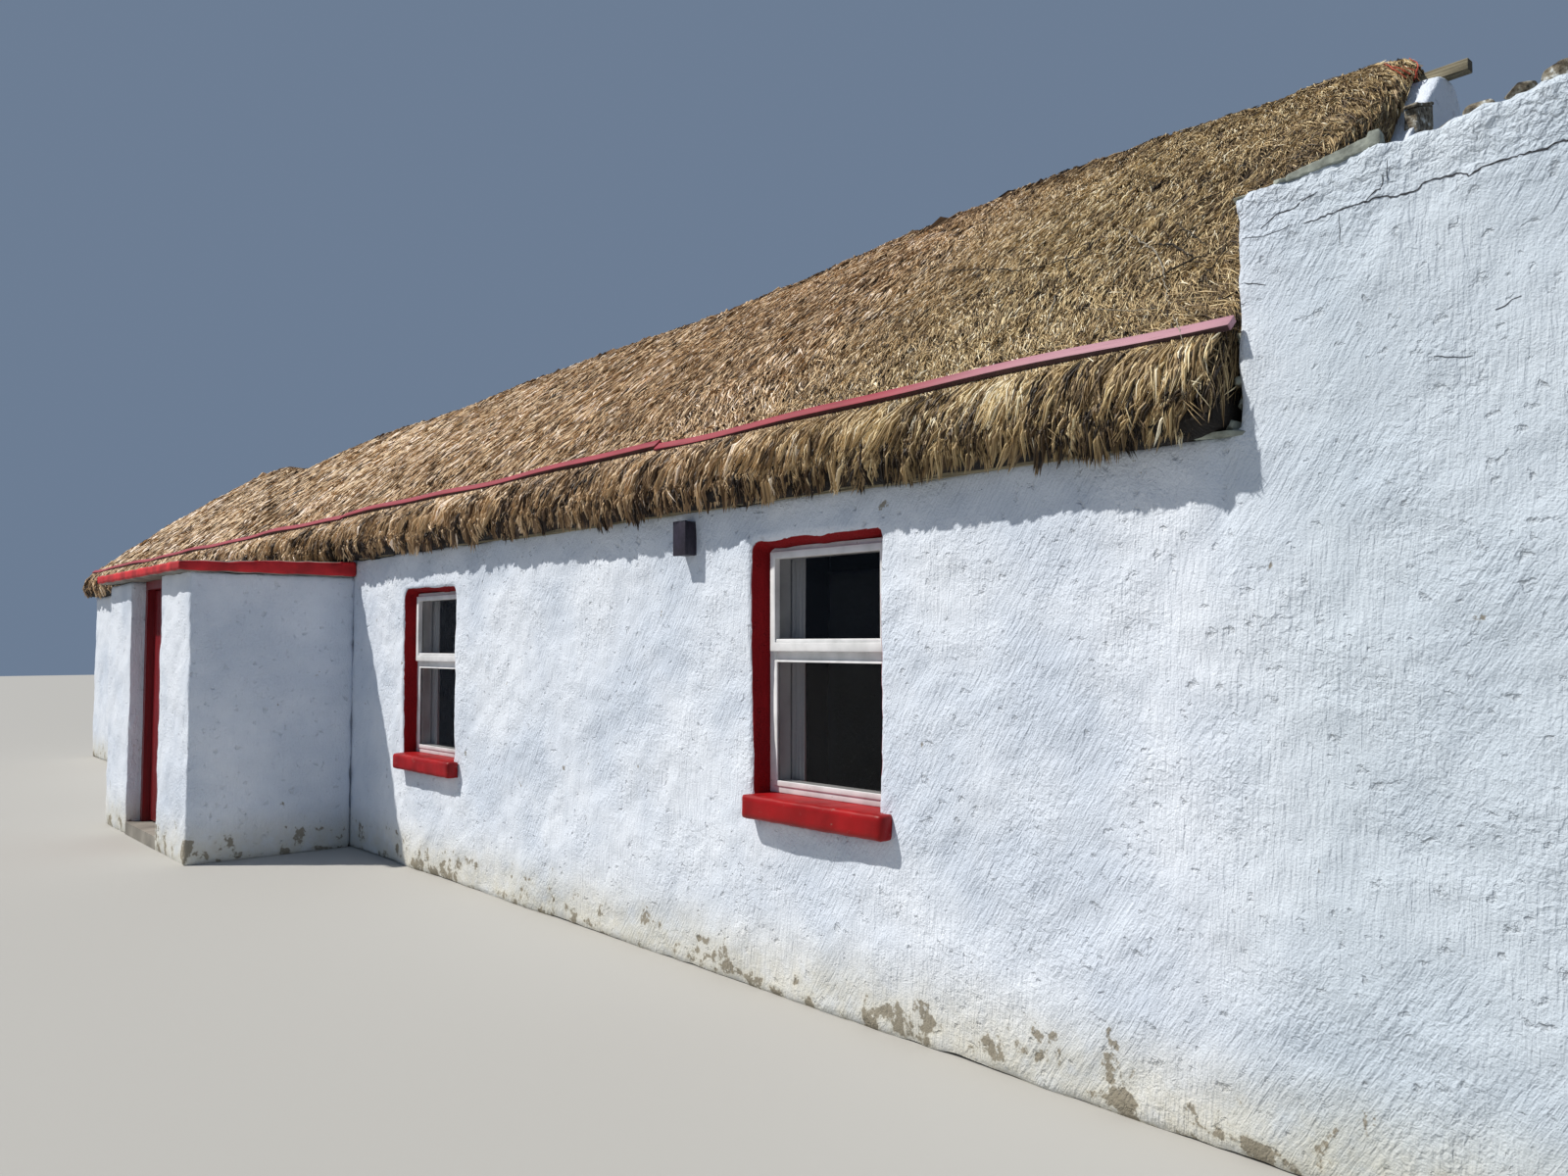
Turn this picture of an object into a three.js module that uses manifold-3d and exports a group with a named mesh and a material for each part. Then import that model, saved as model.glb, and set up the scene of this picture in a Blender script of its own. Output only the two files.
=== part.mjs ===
// A whitewashed thatched cottage with a masonry porch in the middle of its front and a
// taller store built on to its right end. Millimetres, +Z up. While it is laid out, x runs
// along the front wall from the middle of the porch, y runs from the face of the front wall
// towards the back, and z is the height above the ground. The finished group is then moved
// so that its origin is under the middle of the whole building.
import * as THREE from 'three';
import { mergeVertices } from 'three/addons/utils/BufferGeometryUtils.js';
import Module from 'manifold-3d';

const wasm = await Module();
wasm.setup();

// Walls of rubble stone under limewash.
const WALL_HEIGHT = 2270;
const WALL_THICKNESS = 500;
const GABLE_THICKNESS = 600;
const HOUSE_DEPTH = 4400;
const GABLE_LEFT = -8500;
const GABLE_RIGHT = 8600;
const FRONT_WALL_RIGHT_END = 8700;
const MIDDLE_DEPTH = HOUSE_DEPTH / 2;
const FLOOR_TOP = 100;

// Windows of one size: an outer pair towards the gables and an inner pair beside the porch.
const WINDOW_WIDTH = 820;
const WINDOW_HEIGHT = 1160;
const SILL_THICKNESS = 110;
const SILL_PROJECTION = 80;
const SILL_LEFT_LAP = 10;
const SILL_RIGHT_LAP = 130;
const FRAME_SETBACK = 110;
const FRAME_DEPTH = 70;
const FRAME_MEMBER = 55;
const MEETING_RAIL_BOTTOM = 625;
const MEETING_RAIL_TOP = 720;
const GLASS_THICKNESS = 6;
const GLASS_LAP = 20;
const OUTER_WINDOW_X = 6700;
const OUTER_WINDOW_SILL = 900;
const INNER_WINDOW_X = 2695;
const INNER_WINDOW_SILL = 810;
const BACK_WINDOW_X = 4200;
const BACK_WINDOW_SILL = 900;
const CURTAIN_WIDTH = 135;
const CURTAIN_THICKNESS = 36;
const CURTAIN_SIDE_GAP = 4;
const CURTAIN_FRAME_GAP = 5;
const CURTAIN_FOOT_GAP = 25;

// Porch in front of the house door.
const PORCH_LEFT = -1380;
const PORCH_RIGHT = 1300;
const PORCH_PROJECTION = 1200;
const PORCH_PIER_DEPTH = 350;
const PORCH_SIDE_THICKNESS = 450;
const PORCH_WALL_HEIGHT = 2130;
const PORCH_ROOF_FRONT = 2205;
const PORCH_ROOF_BACK = 2255;
const PORCH_ROOF_LAP = 40;
const PORCH_ROOF_OVERHANG = 100;
const INNER_DOOR_LEFT = -500;
const INNER_DOOR_RIGHT = 400;
const INNER_DOOR_HEIGHT = 1950;

// Door in the porch: frame, boarded leaf and the two strap hinges it hangs on.
const DOORWAY_LEFT = -565;
const DOORWAY_RIGHT = 435;
const DOOR_FRAME_SETBACK = 110;
const DOOR_FRAME_DEPTH = 100;
const DOOR_FRAME_MEMBER = 70;
const DOOR_GAP = 8;
const DOOR_FLOOR_GAP = 15;
const DOOR_THICKNESS = 45;
const HINGE_HEIGHTS = [420, 1750];
const PIN_RADIUS = 6;
const PIN_CLEARANCE = 0.6;
const PIN_OUT_FROM_FRAME = 20;
const PIN_IN_FROM_JAMB = 14;
const PIN_SIDES = 16;
const PIN_FOOT = 12;
const PIN_OVER_EYE = 8;
const EYE_RADIUS = 12;
const STRAP_HEIGHT = 40;
const STRAP_LENGTH = 560;
const STRAP_THICKNESS = 12;
const CRANK_START = 9;
const CRANK_LAP = 40;
const CRANK_STANDOFF = 8;
const CRANK_THICKNESS = 22;
const INTO_NEIGHBOUR = 2;

// Roof timbers: the ridge pole and one purlin in each slope.
const POLE_WIDTH = 58;
const POLE_DEPTH = 56;
const POLE_LEFT_END = -8630;
const POLE_RIGHT_END = 8700;
const POLE_HEIGHT_RIGHT = 4215;
const POLE_HEIGHT_LEFT = 3880;
const POLE_SIDE_ROOM = 80;
const POLE_SHOULDER = 20;
const PURLIN_INNER = 1250;
const PURLIN_OUTER = 1150;
const PURLIN_DEPTH = 120;
const PURLIN_GAP = 20;
const GABLE_BED = 10;
const SEAT_GAP = 0.3;

// Thatch: half-round eave with a hanging edge, straight slope and a ridge that sags.
const THATCH_BEARING = 300;
const THATCH_LEFT_END = -8580;
const THATCH_RIGHT_END = 8515;
const EAVE_RIGHT_END = 8670;
const EAVE_END_DEPTH = 460;
const VERGE_ROUNDING = 40;
const EAVE_PROFILE = [[-115, 2270], [-150, 2375], [-122, 2490]];
const BATTEN_SEAT = [[-58, 2588], [22, 2663]];
const SLOPE_PROFILE = [[450, 0.215], [950, 0.455], [1450, 0.685], [1850, 0.86], [2080, 0.955]];
const RIDGE_LINE = [
  [-8580, 4200], [-8500, 4220], [-7900, 4240], [-7000, 4240], [-6400, 4130], [-5800, 4100],
  [-5200, 4160], [-4300, 4200], [-3000, 4235], [-1700, 4225], [-700, 4240], [100, 4265],
  [1100, 4280], [2150, 4290], [3000, 4285], [3900, 4305], [5200, 4370], [6300, 4420],
  [7100, 4415], [7900, 4395], [8180, 4392], [8290, 4408], [8430, 4368], [8515, 4305], [8670, 4295],
];
const EAVE_WAVE = 12;
const EAVE_WAVE_LENGTH = 3100;
const SLOPE_WAVE = 18;
const SLOPE_WAVE_LENGTH = 4700;

// Battens nailed along both eaves to hold the straw down.
const BATTEN_WIDTH = 46;
const BATTEN_THICKNESS = 26;
const BATTEN_SLIP = 8;
const BATTEN_JOINTS = [-8500, 1100, 5530, 8690];
const BATTEN_END_GAP = 5;

// Store at the right end, taller at the front, with a roof that falls to the back.
const STORE_RIGHT = 12100;
const STORE_FRONT_THICKNESS = 470;
const STORE_ROOF_LEFT = 8620;
const STORE_END_THICKNESS = 400;
const STORE_FRONT_TOP = [
  [8700, 3030], [8960, 3072], [9140, 3066], [9290, 3078], [9450, 3082], [9620, 3098], [10400, 3070],
  [11200, 3090], [12100, 3070],
];
const STORE_ROOF_FRONT = 2780;
const STORE_ROOF_BACK = 2390;
const STORE_ROOF_THICKNESS = 90;
const STORE_ROOF_OVERHANG = 100;
const STORE_END_UPSTAND = 120;
const STORE_DOOR_LEFT = 9700;
const STORE_DOOR_RIGHT = 10600;
const STORE_DOOR_HEIGHT = 1850;

// Small dark fuse box on the front wall, under the eave.
const BOX_LEFT = 5740;
const BOX_RIGHT = 5840;
const BOX_BOTTOM = 2045;
const BOX_TOP = 2215;
const BOX_DEPTH = 80;

const PAINTS = {
  limewash: new THREE.MeshStandardMaterial({ color: 0xe8ebf0, roughness: 0.95, metalness: 0 }),
  straw: new THREE.MeshStandardMaterial({ color: 0xa98c58, roughness: 1, metalness: 0 }),
  redPaint: new THREE.MeshStandardMaterial({ color: 0xa81f2f, roughness: 0.55, metalness: 0 }),
  whitePaint: new THREE.MeshStandardMaterial({ color: 0xe9e7e2, roughness: 0.5, metalness: 0 }),
  glass: new THREE.MeshStandardMaterial({ color: 0x9fb4bd, roughness: 0.05, metalness: 0 }),
  timber: new THREE.MeshStandardMaterial({ color: 0x7a7264, roughness: 0.9, metalness: 0 }),
  concrete: new THREE.MeshStandardMaterial({ color: 0x8e8b84, roughness: 0.9, metalness: 0 }),
  slate: new THREE.MeshStandardMaterial({ color: 0x5c6066, roughness: 0.7, metalness: 0 }),
  cloth: new THREE.MeshStandardMaterial({ color: 0xb9b9b6, roughness: 1, metalness: 0 }),
  darkBox: new THREE.MeshStandardMaterial({ color: 0x2b2433, roughness: 0.6, metalness: 0 }),
};

const house = new THREE.Group();
house.name = 'thatched_cottage';

function add(name, geometry, paint) {
  const mesh = new THREE.Mesh(geometry, paint);
  mesh.name = name;
  house.add(mesh);
}

// A shape drawn in x and z and given a thickness from yFront to yBack.
const STAND_UP = new THREE.Matrix4().makeBasis(
  new THREE.Vector3(1, 0, 0), new THREE.Vector3(0, 0, 1), new THREE.Vector3(0, -1, 0));

function outline(points) {
  return new THREE.Shape(points.map(([a, b]) => new THREE.Vector2(a, b)));
}

function rectangle(left, right, bottom, top) {
  return [[left, bottom], [right, bottom], [right, top], [left, top]];
}

function upright(points, yFront, yBack) {
  const geometry = new THREE.ExtrudeGeometry(outline(points), { depth: yBack - yFront, bevelEnabled: false });
  geometry.applyMatrix4(STAND_UP);
  return geometry.translate(0, yBack, 0);
}

// The same with holes cut through it.
function pierced(points, holes, yFront, yBack) {
  const whole = solid(upright(points, yFront, yBack));
  return surface(holes.reduce(
    (left, hole) => left.subtract(solid(upright(hole, yFront - 1, yBack + 1))), whole));
}

// A shape drawn in x and y and given a height from zBottom to zTop.
function flat(points, zBottom, zTop) {
  const geometry = new THREE.ExtrudeGeometry(outline(points), { depth: zTop - zBottom, bevelEnabled: false });
  return geometry.translate(0, 0, zBottom);
}

function block(x0, x1, y0, y1, z0, z1) {
  return flat(rectangle(x0, x1, y0, y1), z0, z1);
}

// Sections drawn in y and z, anticlockwise seen from +x, joined in order of rising x.
function loft(sections) {
  const count = sections[0].points.length;
  const corners = sections.map(({ x, points }) => points.map(([y, z]) => [x, y, z]));
  const positions = [];
  const triangle = (a, b, c) => positions.push(...a, ...b, ...c);
  for (let i = 0; i + 1 < corners.length; i += 1) {
    for (let j = 0; j < count; j += 1) {
      const k = (j + 1) % count;
      triangle(corners[i][j], corners[i][k], corners[i + 1][k]);
      triangle(corners[i][j], corners[i + 1][k], corners[i + 1][j]);
    }
  }
  const cap = (section, ends, facingRight) => {
    const contour = section.points.map(([y, z]) => new THREE.Vector2(y, z));
    for (const [a, b, c] of THREE.ShapeUtils.triangulateShape(contour, [])) {
      if (facingRight) triangle(ends[a], ends[b], ends[c]);
      else triangle(ends[a], ends[c], ends[b]);
    }
  };
  cap(sections[0], corners[0], false);
  cap(sections.at(-1), corners.at(-1), true);
  const geometry = new THREE.BufferGeometry();
  geometry.setAttribute('position', new THREE.Float32BufferAttribute(positions, 3));
  return geometry;
}

function profile(points, xLeft, xRight) {
  return loft([{ x: xLeft, points }, { x: xRight, points }]);
}

function solid(geometry) {
  const bare = new THREE.BufferGeometry();
  bare.setAttribute('position', geometry.getAttribute('position'));
  if (geometry.index) bare.setIndex(geometry.index);
  const merged = mergeVertices(bare);
  return new wasm.Manifold(new wasm.Mesh({
    numProp: 3,
    vertProperties: new Float32Array(merged.getAttribute('position').array),
    triVerts: new Uint32Array(merged.index.array),
  }));
}

function surface(manifold) {
  const mesh = manifold.getMesh();
  const geometry = new THREE.BufferGeometry();
  geometry.setAttribute('position', new THREE.BufferAttribute(mesh.vertProperties, 3));
  geometry.setIndex(new THREE.BufferAttribute(mesh.triVerts, 1));
  return geometry;
}

function mirrorDepth([y, z]) {
  return [HOUSE_DEPTH - y, z];
}

// Front and back walls. Every window keeps a hole down to the underside of its sill.
function windowHole(centre, sillTop, underside) {
  const half = WINDOW_WIDTH / 2;
  return rectangle(centre - half, centre + half, underside, sillTop + WINDOW_HEIGHT);
}

function frontHoles(side) {
  return [[OUTER_WINDOW_X, OUTER_WINDOW_SILL], [INNER_WINDOW_X, INNER_WINDOW_SILL]].map(
    ([x, sill]) => windowHole(side * x, sill, sill - SILL_THICKNESS));
}

add('front_wall_right', pierced(rectangle(INNER_DOOR_RIGHT, FRONT_WALL_RIGHT_END, 0, WALL_HEIGHT),
  frontHoles(1), 0, WALL_THICKNESS), PAINTS.limewash);
add('front_wall_left', pierced(rectangle(GABLE_LEFT, INNER_DOOR_LEFT, 0, WALL_HEIGHT),
  frontHoles(-1), 0, WALL_THICKNESS), PAINTS.limewash);
add('front_wall_over_door', block(INNER_DOOR_LEFT, INNER_DOOR_RIGHT, 0, WALL_THICKNESS,
  INNER_DOOR_HEIGHT, WALL_HEIGHT), PAINTS.limewash);
add('back_wall', pierced(rectangle(GABLE_LEFT, GABLE_RIGHT, 0, WALL_HEIGHT),
  [-1, 1].map((side) => windowHole(side * BACK_WINDOW_X, BACK_WINDOW_SILL, BACK_WINDOW_SILL)),
  HOUSE_DEPTH - WALL_THICKNESS, HOUSE_DEPTH), PAINTS.limewash);
add('floor', block(GABLE_LEFT + GABLE_THICKNESS, GABLE_RIGHT - GABLE_THICKNESS, WALL_THICKNESS,
  HOUSE_DEPTH - WALL_THICKNESS, 0, FLOOR_TOP), PAINTS.concrete);

// Windows: painted timber frame with a deep meeting rail, one sheet of glass on its outer face.
function windowFrame(centre, sillTop, yFront) {
  const half = WINDOW_WIDTH / 2;
  const left = centre - half;
  const right = centre + half;
  const lower = rectangle(left + FRAME_MEMBER, right - FRAME_MEMBER, sillTop + FRAME_MEMBER,
    sillTop + MEETING_RAIL_BOTTOM);
  const upper = rectangle(left + FRAME_MEMBER, right - FRAME_MEMBER, sillTop + MEETING_RAIL_TOP,
    sillTop + WINDOW_HEIGHT - FRAME_MEMBER);
  return pierced(rectangle(left, right, sillTop, sillTop + WINDOW_HEIGHT), [lower, upper],
    yFront, yFront + FRAME_DEPTH);
}

function windowGlass(centre, sillTop, yFront) {
  const half = WINDOW_WIDTH / 2 - GLASS_LAP;
  return block(centre - half, centre + half, yFront, yFront + GLASS_THICKNESS,
    sillTop + GLASS_LAP, sillTop + WINDOW_HEIGHT - GLASS_LAP);
}

// The sill fills the hole from front to back and its nose laps the wall face at both ends.
function windowSill(centre, sillTop) {
  const left = centre - WINDOW_WIDTH / 2;
  const right = centre + WINDOW_WIDTH / 2;
  const plan = [
    [left - SILL_LEFT_LAP, -SILL_PROJECTION], [right + SILL_RIGHT_LAP, -SILL_PROJECTION],
    [right + SILL_RIGHT_LAP, 0], [right, 0], [right, WALL_THICKNESS], [left, WALL_THICKNESS],
    [left, 0], [left - SILL_LEFT_LAP, 0],
  ];
  return flat(plan, sillTop - SILL_THICKNESS, sillTop);
}

function windowCurtain(centre, sillTop) {
  const left = centre - WINDOW_WIDTH / 2 + CURTAIN_SIDE_GAP;
  const front = FRAME_SETBACK + FRAME_DEPTH + CURTAIN_FRAME_GAP;
  return block(left, left + CURTAIN_WIDTH, front, front + CURTAIN_THICKNESS, sillTop + CURTAIN_FOOT_GAP,
    sillTop + WINDOW_HEIGHT - SEAT_GAP);
}

const frontWindows = [
  ['window_1', OUTER_WINDOW_X, OUTER_WINDOW_SILL],
  ['window_2', INNER_WINDOW_X, INNER_WINDOW_SILL],
  ['window_3', -INNER_WINDOW_X, INNER_WINDOW_SILL],
  ['window_4', -OUTER_WINDOW_X, OUTER_WINDOW_SILL],
];
for (const [name, centre, sill] of frontWindows) {
  add(`${name}_frame`, windowFrame(centre, sill, FRAME_SETBACK), PAINTS.whitePaint);
  add(`${name}_glass`, windowGlass(centre, sill, FRAME_SETBACK - GLASS_THICKNESS), PAINTS.glass);
  add(`${name}_sill`, windowSill(centre, sill), PAINTS.redPaint);
}
for (const [name, centre, sill] of frontWindows.slice(0, 2)) {
  add(`${name}_curtain`, windowCurtain(centre, sill), PAINTS.cloth);
}
const backFrame = HOUSE_DEPTH - FRAME_SETBACK - FRAME_DEPTH;
for (const [name, centre] of [['back_window_1', BACK_WINDOW_X], ['back_window_2', -BACK_WINDOW_X]]) {
  add(`${name}_frame`, windowFrame(centre, BACK_WINDOW_SILL, backFrame), PAINTS.whitePaint);
  add(`${name}_glass`, windowGlass(centre, BACK_WINDOW_SILL, backFrame + FRAME_DEPTH), PAINTS.glass);
}

// Ridge pole. It drops a little towards the left, and the slopes follow it.
function poleHeight(x) {
  const along = (x - GABLE_LEFT) / (GABLE_RIGHT - GABLE_LEFT);
  return POLE_HEIGHT_LEFT + (POLE_HEIGHT_RIGHT - POLE_HEIGHT_LEFT) * along;
}

function poleSection(x) {
  return rectangle(MIDDLE_DEPTH - POLE_WIDTH / 2, MIDDLE_DEPTH + POLE_WIDTH / 2,
    poleHeight(x) - POLE_DEPTH / 2, poleHeight(x) + POLE_DEPTH / 2);
}

const poleEnds = [POLE_LEFT_END, POLE_RIGHT_END];
add('ridge_pole', loft(poleEnds.map((x) => ({ x, points: poleSection(x) }))), PAINTS.timber);

// Underside of the straw at depth y from the nearer wall face.
function undersideHeight(x, y) {
  const rise = poleHeight(x) - POLE_SHOULDER - WALL_HEIGHT;
  const run = MIDDLE_DEPTH - POLE_SIDE_ROOM - THATCH_BEARING;
  return WALL_HEIGHT + rise * Math.max(0, (y - THATCH_BEARING) / run);
}

function gableSection(x) {
  const front = [
    [WALL_THICKNESS, undersideHeight(x, WALL_THICKNESS) - GABLE_BED],
    [MIDDLE_DEPTH - POLE_SIDE_ROOM, undersideHeight(x, MIDDLE_DEPTH - POLE_SIDE_ROOM) - GABLE_BED],
    [MIDDLE_DEPTH - POLE_SIDE_ROOM, poleHeight(x) - POLE_DEPTH / 2 - SEAT_GAP],
  ];
  const back = front.map(mirrorDepth);
  const top = [...back, ...front.toReversed()];
  return [[WALL_THICKNESS, 0], [HOUSE_DEPTH - WALL_THICKNESS, 0], ...top];
}

function gable(xLeft, xRight) {
  return loft([xLeft, xRight].map((x) => ({ x, points: gableSection(x) })));
}

add('right_gable', gable(GABLE_RIGHT - GABLE_THICKNESS, GABLE_RIGHT), PAINTS.limewash);
add('left_gable', gable(GABLE_LEFT, GABLE_LEFT + GABLE_THICKNESS), PAINTS.limewash);

function purlinSection(x) {
  const inner = undersideHeight(x, PURLIN_INNER) - PURLIN_GAP;
  const outer = undersideHeight(x, PURLIN_OUTER) - PURLIN_GAP;
  return [
    [PURLIN_OUTER, outer - PURLIN_DEPTH], [PURLIN_INNER, inner - PURLIN_DEPTH],
    [PURLIN_INNER, inner], [PURLIN_OUTER, outer],
  ];
}

const purlinEnds = [GABLE_LEFT + GABLE_THICKNESS, GABLE_RIGHT - GABLE_THICKNESS];
add('front_purlin', loft(purlinEnds.map((x) => ({ x, points: purlinSection(x) }))), PAINTS.timber);
add('back_purlin', loft(purlinEnds.map(
  (x) => ({ x, points: purlinSection(x).map(mirrorDepth).toReversed() }))), PAINTS.timber);

// Straw coats: outer face from the eave up to the ridge, then back down the underside.
function wave(x, length, phase) {
  return Math.sin((2 * Math.PI * x) / length + phase);
}

function thatchSection(x, ridge, phase) {
  const seatTop = BATTEN_SEAT[1][1];
  const rounding = x === THATCH_LEFT_END ? VERGE_ROUNDING : 0;
  const eave = EAVE_PROFILE.map(([y, z], i) => {
    const swing = i ? EAVE_WAVE * wave(x, EAVE_WAVE_LENGTH, phase + i) : 0;
    return [y + swing, z];
  });
  const slope = SLOPE_PROFILE.map(([y, share]) => {
    const crest = wave(x, SLOPE_WAVE_LENGTH, phase + y / MIDDLE_DEPTH);
    const swell = SLOPE_WAVE * Math.sin(Math.PI * share) * crest;
    return [y, seatTop + share * (ridge - seatTop) + swell - rounding];
  });
  const inner = MIDDLE_DEPTH - POLE_SIDE_ROOM;
  const pocketTop = poleHeight(x) + POLE_DEPTH / 2 + SEAT_GAP;
  return [
    ...eave.toReversed(),
    [THATCH_BEARING, WALL_HEIGHT],
    [inner, undersideHeight(x, inner)],
    [inner, pocketTop],
    [MIDDLE_DEPTH, pocketTop],
    [MIDDLE_DEPTH, ridge - rounding],
    ...slope.toReversed(),
    ...BATTEN_SEAT.toReversed(),
  ];
}

function thatch(stations, back) {
  return loft(stations.map(([x, ridge]) => {
    const points = thatchSection(x, ridge, back ? 2 : 0);
    return { x, points: back ? points.map(mirrorDepth).toReversed() : points };
  }));
}

const eaveEndCut = block(THATCH_RIGHT_END, EAVE_RIGHT_END + 100, EAVE_END_DEPTH, HOUSE_DEPTH, 0, 6000);
add('thatch_front', surface(solid(thatch(RIDGE_LINE, false)).subtract(solid(eaveEndCut))), PAINTS.straw);
add('thatch_back', thatch(RIDGE_LINE.filter(([x]) => x <= THATCH_RIGHT_END), true), PAINTS.straw);

// Battens lie flat on the seat that the eave profile keeps straight for them.
function battenSection(slip) {
  const [low, high] = BATTEN_SEAT.map(([y, z]) => new THREE.Vector2(y, z));
  const along = high.clone().sub(low).normalize();
  const outward = new THREE.Vector2(-along.y, along.x);
  const middle = low.clone().add(high).multiplyScalar(0.5).addScaledVector(along, slip);
  const corner = (lengthways, off) => {
    const point = middle.clone().addScaledVector(along, lengthways).addScaledVector(outward, off);
    return [point.x, point.y];
  };
  const half = BATTEN_WIDTH / 2;
  const top = SEAT_GAP + BATTEN_THICKNESS;
  return [corner(-half, SEAT_GAP), corner(half, SEAT_GAP), corner(half, top), corner(-half, top)];
}

const battenNames = ['batten_left', 'batten_middle', 'batten_right'];
battenNames.forEach((name, i) => {
  const slip = i === 1 ? BATTEN_SLIP : -BATTEN_SLIP;
  const left = BATTEN_JOINTS[i] + BATTEN_END_GAP;
  const right = BATTEN_JOINTS[i + 1] - BATTEN_END_GAP;
  add(name, profile(battenSection(slip), left, right), PAINTS.redPaint);
});
add('batten_back', profile(battenSection(0).map(mirrorDepth).toReversed(), BATTEN_JOINTS[0],
  THATCH_RIGHT_END), PAINTS.redPaint);

// Porch walls stand in front of the house wall, each side with a pier that frames the door.
const porchFront = -PORCH_PROJECTION;
const pierBack = porchFront + PORCH_PIER_DEPTH;
add('porch_left_pier', block(PORCH_LEFT, DOORWAY_LEFT, porchFront, pierBack, 0, PORCH_WALL_HEIGHT),
  PAINTS.limewash);
add('porch_right_pier', block(DOORWAY_RIGHT, PORCH_RIGHT, porchFront, pierBack, 0, PORCH_WALL_HEIGHT),
  PAINTS.limewash);
add('porch_left_side', block(PORCH_LEFT, PORCH_LEFT + PORCH_SIDE_THICKNESS, pierBack, 0, 0,
  PORCH_WALL_HEIGHT), PAINTS.limewash);
add('porch_right_side', block(PORCH_RIGHT - PORCH_SIDE_THICKNESS, PORCH_RIGHT, pierBack, 0, 0,
  PORCH_WALL_HEIGHT), PAINTS.limewash);

const porchInnerLeft = PORCH_LEFT + PORCH_SIDE_THICKNESS;
const porchInnerRight = PORCH_RIGHT - PORCH_SIDE_THICKNESS;
add('porch_floor', flat([
  [DOORWAY_LEFT, porchFront], [DOORWAY_RIGHT, porchFront], [DOORWAY_RIGHT, pierBack],
  [porchInnerRight, pierBack], [porchInnerRight, 0], [INNER_DOOR_RIGHT, 0],
  [INNER_DOOR_RIGHT, WALL_THICKNESS], [INNER_DOOR_LEFT, WALL_THICKNESS], [INNER_DOOR_LEFT, 0],
  [porchInnerLeft, 0], [porchInnerLeft, pierBack], [DOORWAY_LEFT, pierBack],
], 0, FLOOR_TOP), PAINTS.concrete);

// Porch roof: a slab with a flat soffit and a top that falls to the front.
add('porch_roof', profile([
  [porchFront - PORCH_ROOF_OVERHANG, PORCH_WALL_HEIGHT], [0, PORCH_WALL_HEIGHT],
  [0, PORCH_ROOF_BACK], [porchFront - PORCH_ROOF_OVERHANG, PORCH_ROOF_FRONT],
], PORCH_LEFT - PORCH_ROOF_LAP, PORCH_RIGHT + PORCH_ROOF_LAP), PAINTS.redPaint);

// Door frame with the two pins, and the leaf with the two straps that turn on them.
const frameFront = porchFront + DOOR_FRAME_SETBACK;
const frameBack = frameFront + DOOR_FRAME_DEPTH;
const jambLeft = DOORWAY_LEFT + DOOR_FRAME_MEMBER;
const jambRight = DOORWAY_RIGHT - DOOR_FRAME_MEMBER;
const headBottom = PORCH_WALL_HEIGHT - DOOR_FRAME_MEMBER;
const hingeX = jambLeft - PIN_IN_FROM_JAMB;
const hingeY = frameBack + PIN_OUT_FROM_FRAME;

function post(radius, zBottom, zTop) {
  const geometry = new THREE.CylinderGeometry(radius, radius, zTop - zBottom, PIN_SIDES);
  geometry.applyMatrix4(STAND_UP);
  return geometry.translate(hingeX, hingeY, (zBottom + zTop) / 2);
}

let frameSolid = solid(upright([
  [DOORWAY_LEFT, FLOOR_TOP], [jambLeft, FLOOR_TOP], [jambLeft, headBottom], [jambRight, headBottom],
  [jambRight, FLOOR_TOP], [DOORWAY_RIGHT, FLOOR_TOP], [DOORWAY_RIGHT, PORCH_WALL_HEIGHT],
  [DOORWAY_LEFT, PORCH_WALL_HEIGHT],
], frameFront, frameBack));
let leafSolid = solid(block(jambLeft + DOOR_GAP, jambRight - DOOR_GAP, frameBack - DOOR_THICKNESS,
  frameBack, FLOOR_TOP + DOOR_FLOOR_GAP, headBottom - DOOR_GAP));
for (const height of HINGE_HEIGHTS) {
  const eyeBottom = height - STRAP_HEIGHT / 2;
  const eyeTop = height + STRAP_HEIGHT / 2;
  const pinBottom = eyeBottom - SEAT_GAP - PIN_FOOT;
  const foot = block(hingeX - PIN_RADIUS, hingeX + PIN_RADIUS, frameBack - INTO_NEIGHBOUR,
    hingeY + PIN_RADIUS, pinBottom, pinBottom + PIN_FOOT);
  frameSolid = frameSolid.add(solid(foot)).add(solid(post(PIN_RADIUS, pinBottom, eyeTop + PIN_OVER_EYE)));
  const crank = block(hingeX + CRANK_START, jambLeft + CRANK_LAP, frameBack + CRANK_STANDOFF,
    frameBack + CRANK_STANDOFF + CRANK_THICKNESS, eyeBottom, eyeTop);
  const strap = block(jambLeft + DOOR_GAP, jambLeft + DOOR_GAP + STRAP_LENGTH, frameBack - INTO_NEIGHBOUR,
    frameBack + STRAP_THICKNESS, eyeBottom, eyeTop);
  leafSolid = leafSolid.add(solid(strap)).add(solid(crank)).add(solid(post(EYE_RADIUS, eyeBottom, eyeTop)))
    .subtract(solid(post(PIN_RADIUS + PIN_CLEARANCE, eyeBottom - 1, eyeTop + 1)));
}
add('door_frame', surface(frameSolid), PAINTS.redPaint);
add('door', surface(leafSolid), PAINTS.redPaint);

// Store: front wall with an uneven top, low roof behind it, doorway in the back wall.
add('store_front_wall', upright([
  [FRONT_WALL_RIGHT_END, 0], [STORE_RIGHT, 0], ...STORE_FRONT_TOP.toReversed(),
], 0, STORE_FRONT_THICKNESS), PAINTS.limewash);

const storeInnerRight = STORE_RIGHT - STORE_END_THICKNESS;
const storeBackInner = HOUSE_DEPTH - WALL_THICKNESS;
const roofBackEdge = HOUSE_DEPTH + STORE_ROOF_OVERHANG;

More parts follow.
